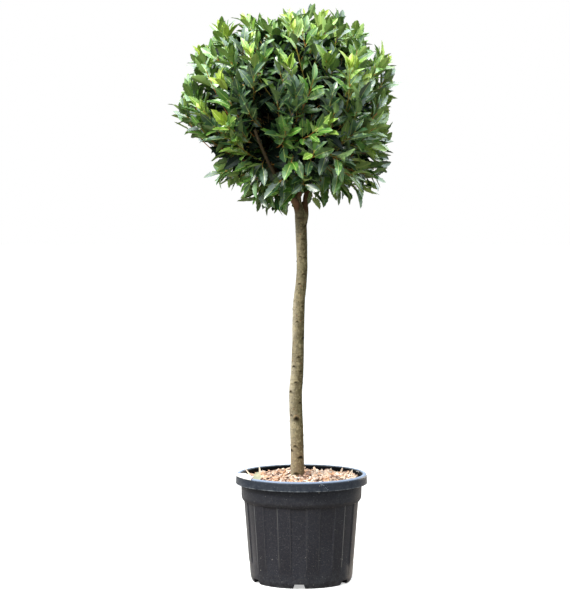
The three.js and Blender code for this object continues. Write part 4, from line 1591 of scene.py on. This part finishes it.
def clearOfLimbs(p):
    if hidesLimb(p):
        return False
    onBoughs = [bent(*row["curve"], i / 8) for row in boughRows for i in range(9)]
    if min((q - p).length for q in onBoughs) < clearance["bough"]:
        return False
    if p.z >= clearance["stemBelow"]:
        return True
    axis = trunkAt(max(300, p.z * 1000))
    sideways, depth = p.x - axis.x, p.y - axis.y
    left, right, top, behind = clearance["fork"]
    if p.z < top and depth < behind and left < sideways < right:
        return False
    left, right, low, high = clearance["sky"]
    if low < p.z < high and left < p.x < right:
        return False
    return math.hypot(sideways, depth) > clearance["stem"]


def leafOn(shoot, t, spread, turn, length, pick):  # where it starts, points and faces, if it has room
    d = shoot["direction"]
    base = bent(*shoot["curve"], t)
    axis = (bent(*shoot["curve"], min(1, t + 0.05)) - bent(*shoot["curve"], t - 0.05)).normalized()
    across = axis.orthogonal().normalized()
    across.rotate(Matrix.Rotation(turn, 3, axis))
    along = axis * math.cos(math.radians(spread)) + across * math.sin(math.radians(spread))
    lift = pose["lift"][0] if d.z > pose["liftAbove"] else pose["lift"][1]
    along = (along + up * lift + d * pose["outwards"]).normalized()
    whole = 1 + leaf["stalk"]
    for attempt in range(pose["tries"]):  # turned in and shortened until its tip is within the crown
        out = base + along * (length * whole) - crown["centre"]
        over = out.length / reach(out.normalized()) - shoot.get("limit", limitAt(out.normalized()))
        if over < 0:
            break
        along = (along - out.normalized() * (pose["turnIn"] + over)).normalized()
        length *= pose["shorten"]
    loose = Vector([pick.uniform(-pose["loose"], pose["loose"]) for k in range(3)])
    onShoot, outwards, raised, below = pose["face"]
    upper = axis * onShoot + d * outwards + up * (raised - below * min(0, d.z)) + loose
    upper -= along * upper.dot(along)
    if over < pose["over"] and all(clearOfLimbs(base + along * (length * k)) for k in (0.3, 0.6, 0.9, whole)):
        return base, along, upper.normalized(), length
    return None


def toneWeights(d):
    return [share * (waist + rise * d.z) for share, waist, rise, *look in finishes.values()]


def leafTone(tone, share, pick):  # the older leaves of a pale shoot are darker, and one in ten is odd
    if tone in ("Young", "Fresh") and share < 0.4:
        tone = "Full"
    elif tone == "Young" and share < 0.7:
        tone = "Fresh"
    return pick.choice(list(finishes)[:3]) if pick.random() < 0.1 else tone


def leafyShoot(shoot, fields, pick):
    d = shoot["direction"]
    shoot["tone"] = pick.choices(list(finishes), toneWeights(d))[0]
    count, turn = pick.randint(*growth["leaves"]), pick.uniform(0, 2 * math.pi)
    wide, narrow = growth["spread"]
    shapes = leaf["shapes"] // 2 if d.z < -0.1 else leaf["shapes"]  # the straighter ones below
    for i in range(count):
        share = i / (count - 1)
        turn += goldenAngle + pick.uniform(-0.3, 0.3)
        spread = wide + (narrow - wide) * share + pick.uniform(-9, 9) - 14 * min(0, d.z)
        length = pick.uniform(*leaf["length"]) * (1.06 - 0.12 * d.z - 0.22 * share ** 3)
        row = leafOn(shoot, 0.26 + 0.74 * share ** 0.8, spread, turn, length, pick)
        tone = leafTone(shoot["tone"], share, pick)
        if row:
            shoot["kept"] += 1
            fields[tone].add(*row, pick.randrange(shapes))
    if shoot["tone"] in ("Fresh", "Young"):
        for k in range(3):  # the leaves still opening at the tip
            row = leafOn(shoot, 1, 14 + 5 * k, turn + 2.2 * k, pick.uniform(0.022, 0.038), pick)
            if row:
                fields["Young"].add(*row, pick.randrange(leaf["shapes"]))


def setLeaves():
    pick = random.Random(growth["seed"] + 1)
    fields = {tone: LeafPoints() for tone in [*finishes, "Inner"]}
    for shoot in shoots:
        shoot["kept"] = 0
        if not bareOverLimb(shoot):
            leafyShoot(shoot, fields, pick)
    for shoot in innerShoots:
        count, turn = pick.randint(*growth["innerLeaves"]), pick.uniform(0, 2 * math.pi)
        for i in range(count):
            turn += goldenAngle
            length = pick.uniform(*leaf["length"]) * 1.08
            row = leafOn(shoot, 0.2 + 0.8 * i / (count - 1), pick.uniform(40, 75), turn, length, pick)
            if row:
                fields["Inner"].add(*row, pick.randrange(leaf["shapes"]))
    return fields


foliageNodes = ["foliage_" + row["name"] for row in boughRows]
leafShapes = shapeSet("leaf", [leafShape(s, leaf["stations"]) for s in range(leaf["shapes"])])
innerShapes = shapeSet("innerLeaf", [leafShape(s + 50, leaf["coarse"]) for s in range(leaf["shapes"])])


def makeFallenLeaf():
    along, upper = Vector(fallen["along"]).normalized(), Vector(fallen["upper"])
    scale = Vector((fallen["length"], fallen["width"], fallen["length"]))
    shape = leafShape(fallen["shape"], leaf["stations"])
    part = placeShape(shape, Vector(fallen["place"]), along, upper, scale)
    look = Surface("fallenLeaf", "#999a82", 0.75)
    look.blend(look.patch(grain, Scale=90.0, Low=0.4, High=0.7), "#bdb296", 0.6)
    piece = newPiece("fallenLeaf", *part, look.material, sharpAbove=55)
    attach(piece, "root")


def leafMaterials(tone):
    if tone == "Inner":
        matt = {"Specular IOR Level": 0.15}
        blade, rib, under = [newMaterial(part + tone, *finish, matt) for part, *finish in shadedInnerFinish]
    else:
        bladeTone, ribTone, underTone, roughness, coat = finishes[tone][3:]
        gloss = {"Specular IOR Level": 0.6, "Coat Weight": coat, "Coat Roughness": 0.34}
        blade = newMaterial("blade" + tone, bladeTone, roughness, gloss)
        rib = newMaterial("rib" + tone, ribTone, 0.5)
        under = newMaterial("under" + tone, underTone, 0.62)
    stalk = greenStalk if tone == "Young" else brownStalk
    return {"Blade": blade, "Rib": rib, "Underside": under, "Stalk": stalk}


makeFallenLeaf()
leafTree = buildLeafTree()
brownStalk = newMaterial("leafStalk", "#bb863f", 0.55)
greenStalk = newMaterial("leafStalkGreen", "#9aa04a", 0.5)
leafFields = setLeaves()
shoots = [s for s in shoots if s["kept"] > 4]  # a bare one is left out, with its twig
twigs = [t for s, t in outerGrowth if s["kept"] > 4 and not bareOverLimb(t)] + [t for s, t in innerGrowth]
for tone, field in leafFields.items():
    leaves = runTree(field.piece("leafPoints" + tone), leafTree, {
        "Shapes": innerShapes if tone == "Inner" else leafShapes,
        "Leaf Size": 1.0,
        **leafMaterials(tone),
    }, "leaves" + tone, sharpAbove=55)
    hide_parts(*foliageNodes)
    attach(leaves, "root")
    print("leaves", tone, len(field.places), len(leaves.data.polygons))
dropSet(leafShapes)
dropSet(innerShapes)


# Branches, twigs and shoots as tubes along their curves.
wood = {
    "sides": {"branch": 7, "twig": 5, "shoot": 4},
    "steps": {"branch": 9, "twig": 7, "shoot": 7},
    # the shoots of the outer leaves: piece, the tones of their leaves, and bark
    "shoots": (
        ("shootsOlive", ("Deep",), "#8a7c3a"),
        ("shootsRed", ("Full",), "#9c6a33"),
        ("shootsGreen", ("Fresh", "Young"), "#aa9b45"),
    ),
}


def makeWood(name, rows, kind, material):
    parts = []
    steps = wood["steps"][kind]
    for row in rows:
        path = [bent(*row["curve"], i / steps) for i in range(steps + 1)]
        first, last = row["radii"]
        girth = [first + (last - first) * i / steps for i in range(steps + 1)]
        parts.append(tube(path, girth, wood["sides"][kind]))
    piece = newPiece(name, *joinParts(parts), material, sharpAbove=70)
    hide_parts(*foliageNodes)
    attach(piece, "root")


limb = {"curve": [Vector(p) for p in frontLimb["path"]], "radii": frontLimb["radii"]}
# the wood inside the crown is darker than the outer shoots: the branches and twigs partly as older bark and
# partly as painted shade, the inner shoots as painted shade
makeWood("branchWood", branches + [limb], "branch", newMaterial("branchBark", "#5f513a", 0.8))
makeWood("twigWood", twigs, "twig", newMaterial("twigBark", "#66592f", 0.75))
makeWood("shootsInner", innerShoots, "shoot", newMaterial("shootsInnerBark", "#5c5330", 0.75))
for name, tones, colour in wood["shoots"]:
    rows = [s for s in shoots if s["tone"] in tones]
    makeWood(name, rows, "shoot", newMaterial(name + "Bark", colour, 0.58))
print("wood done")
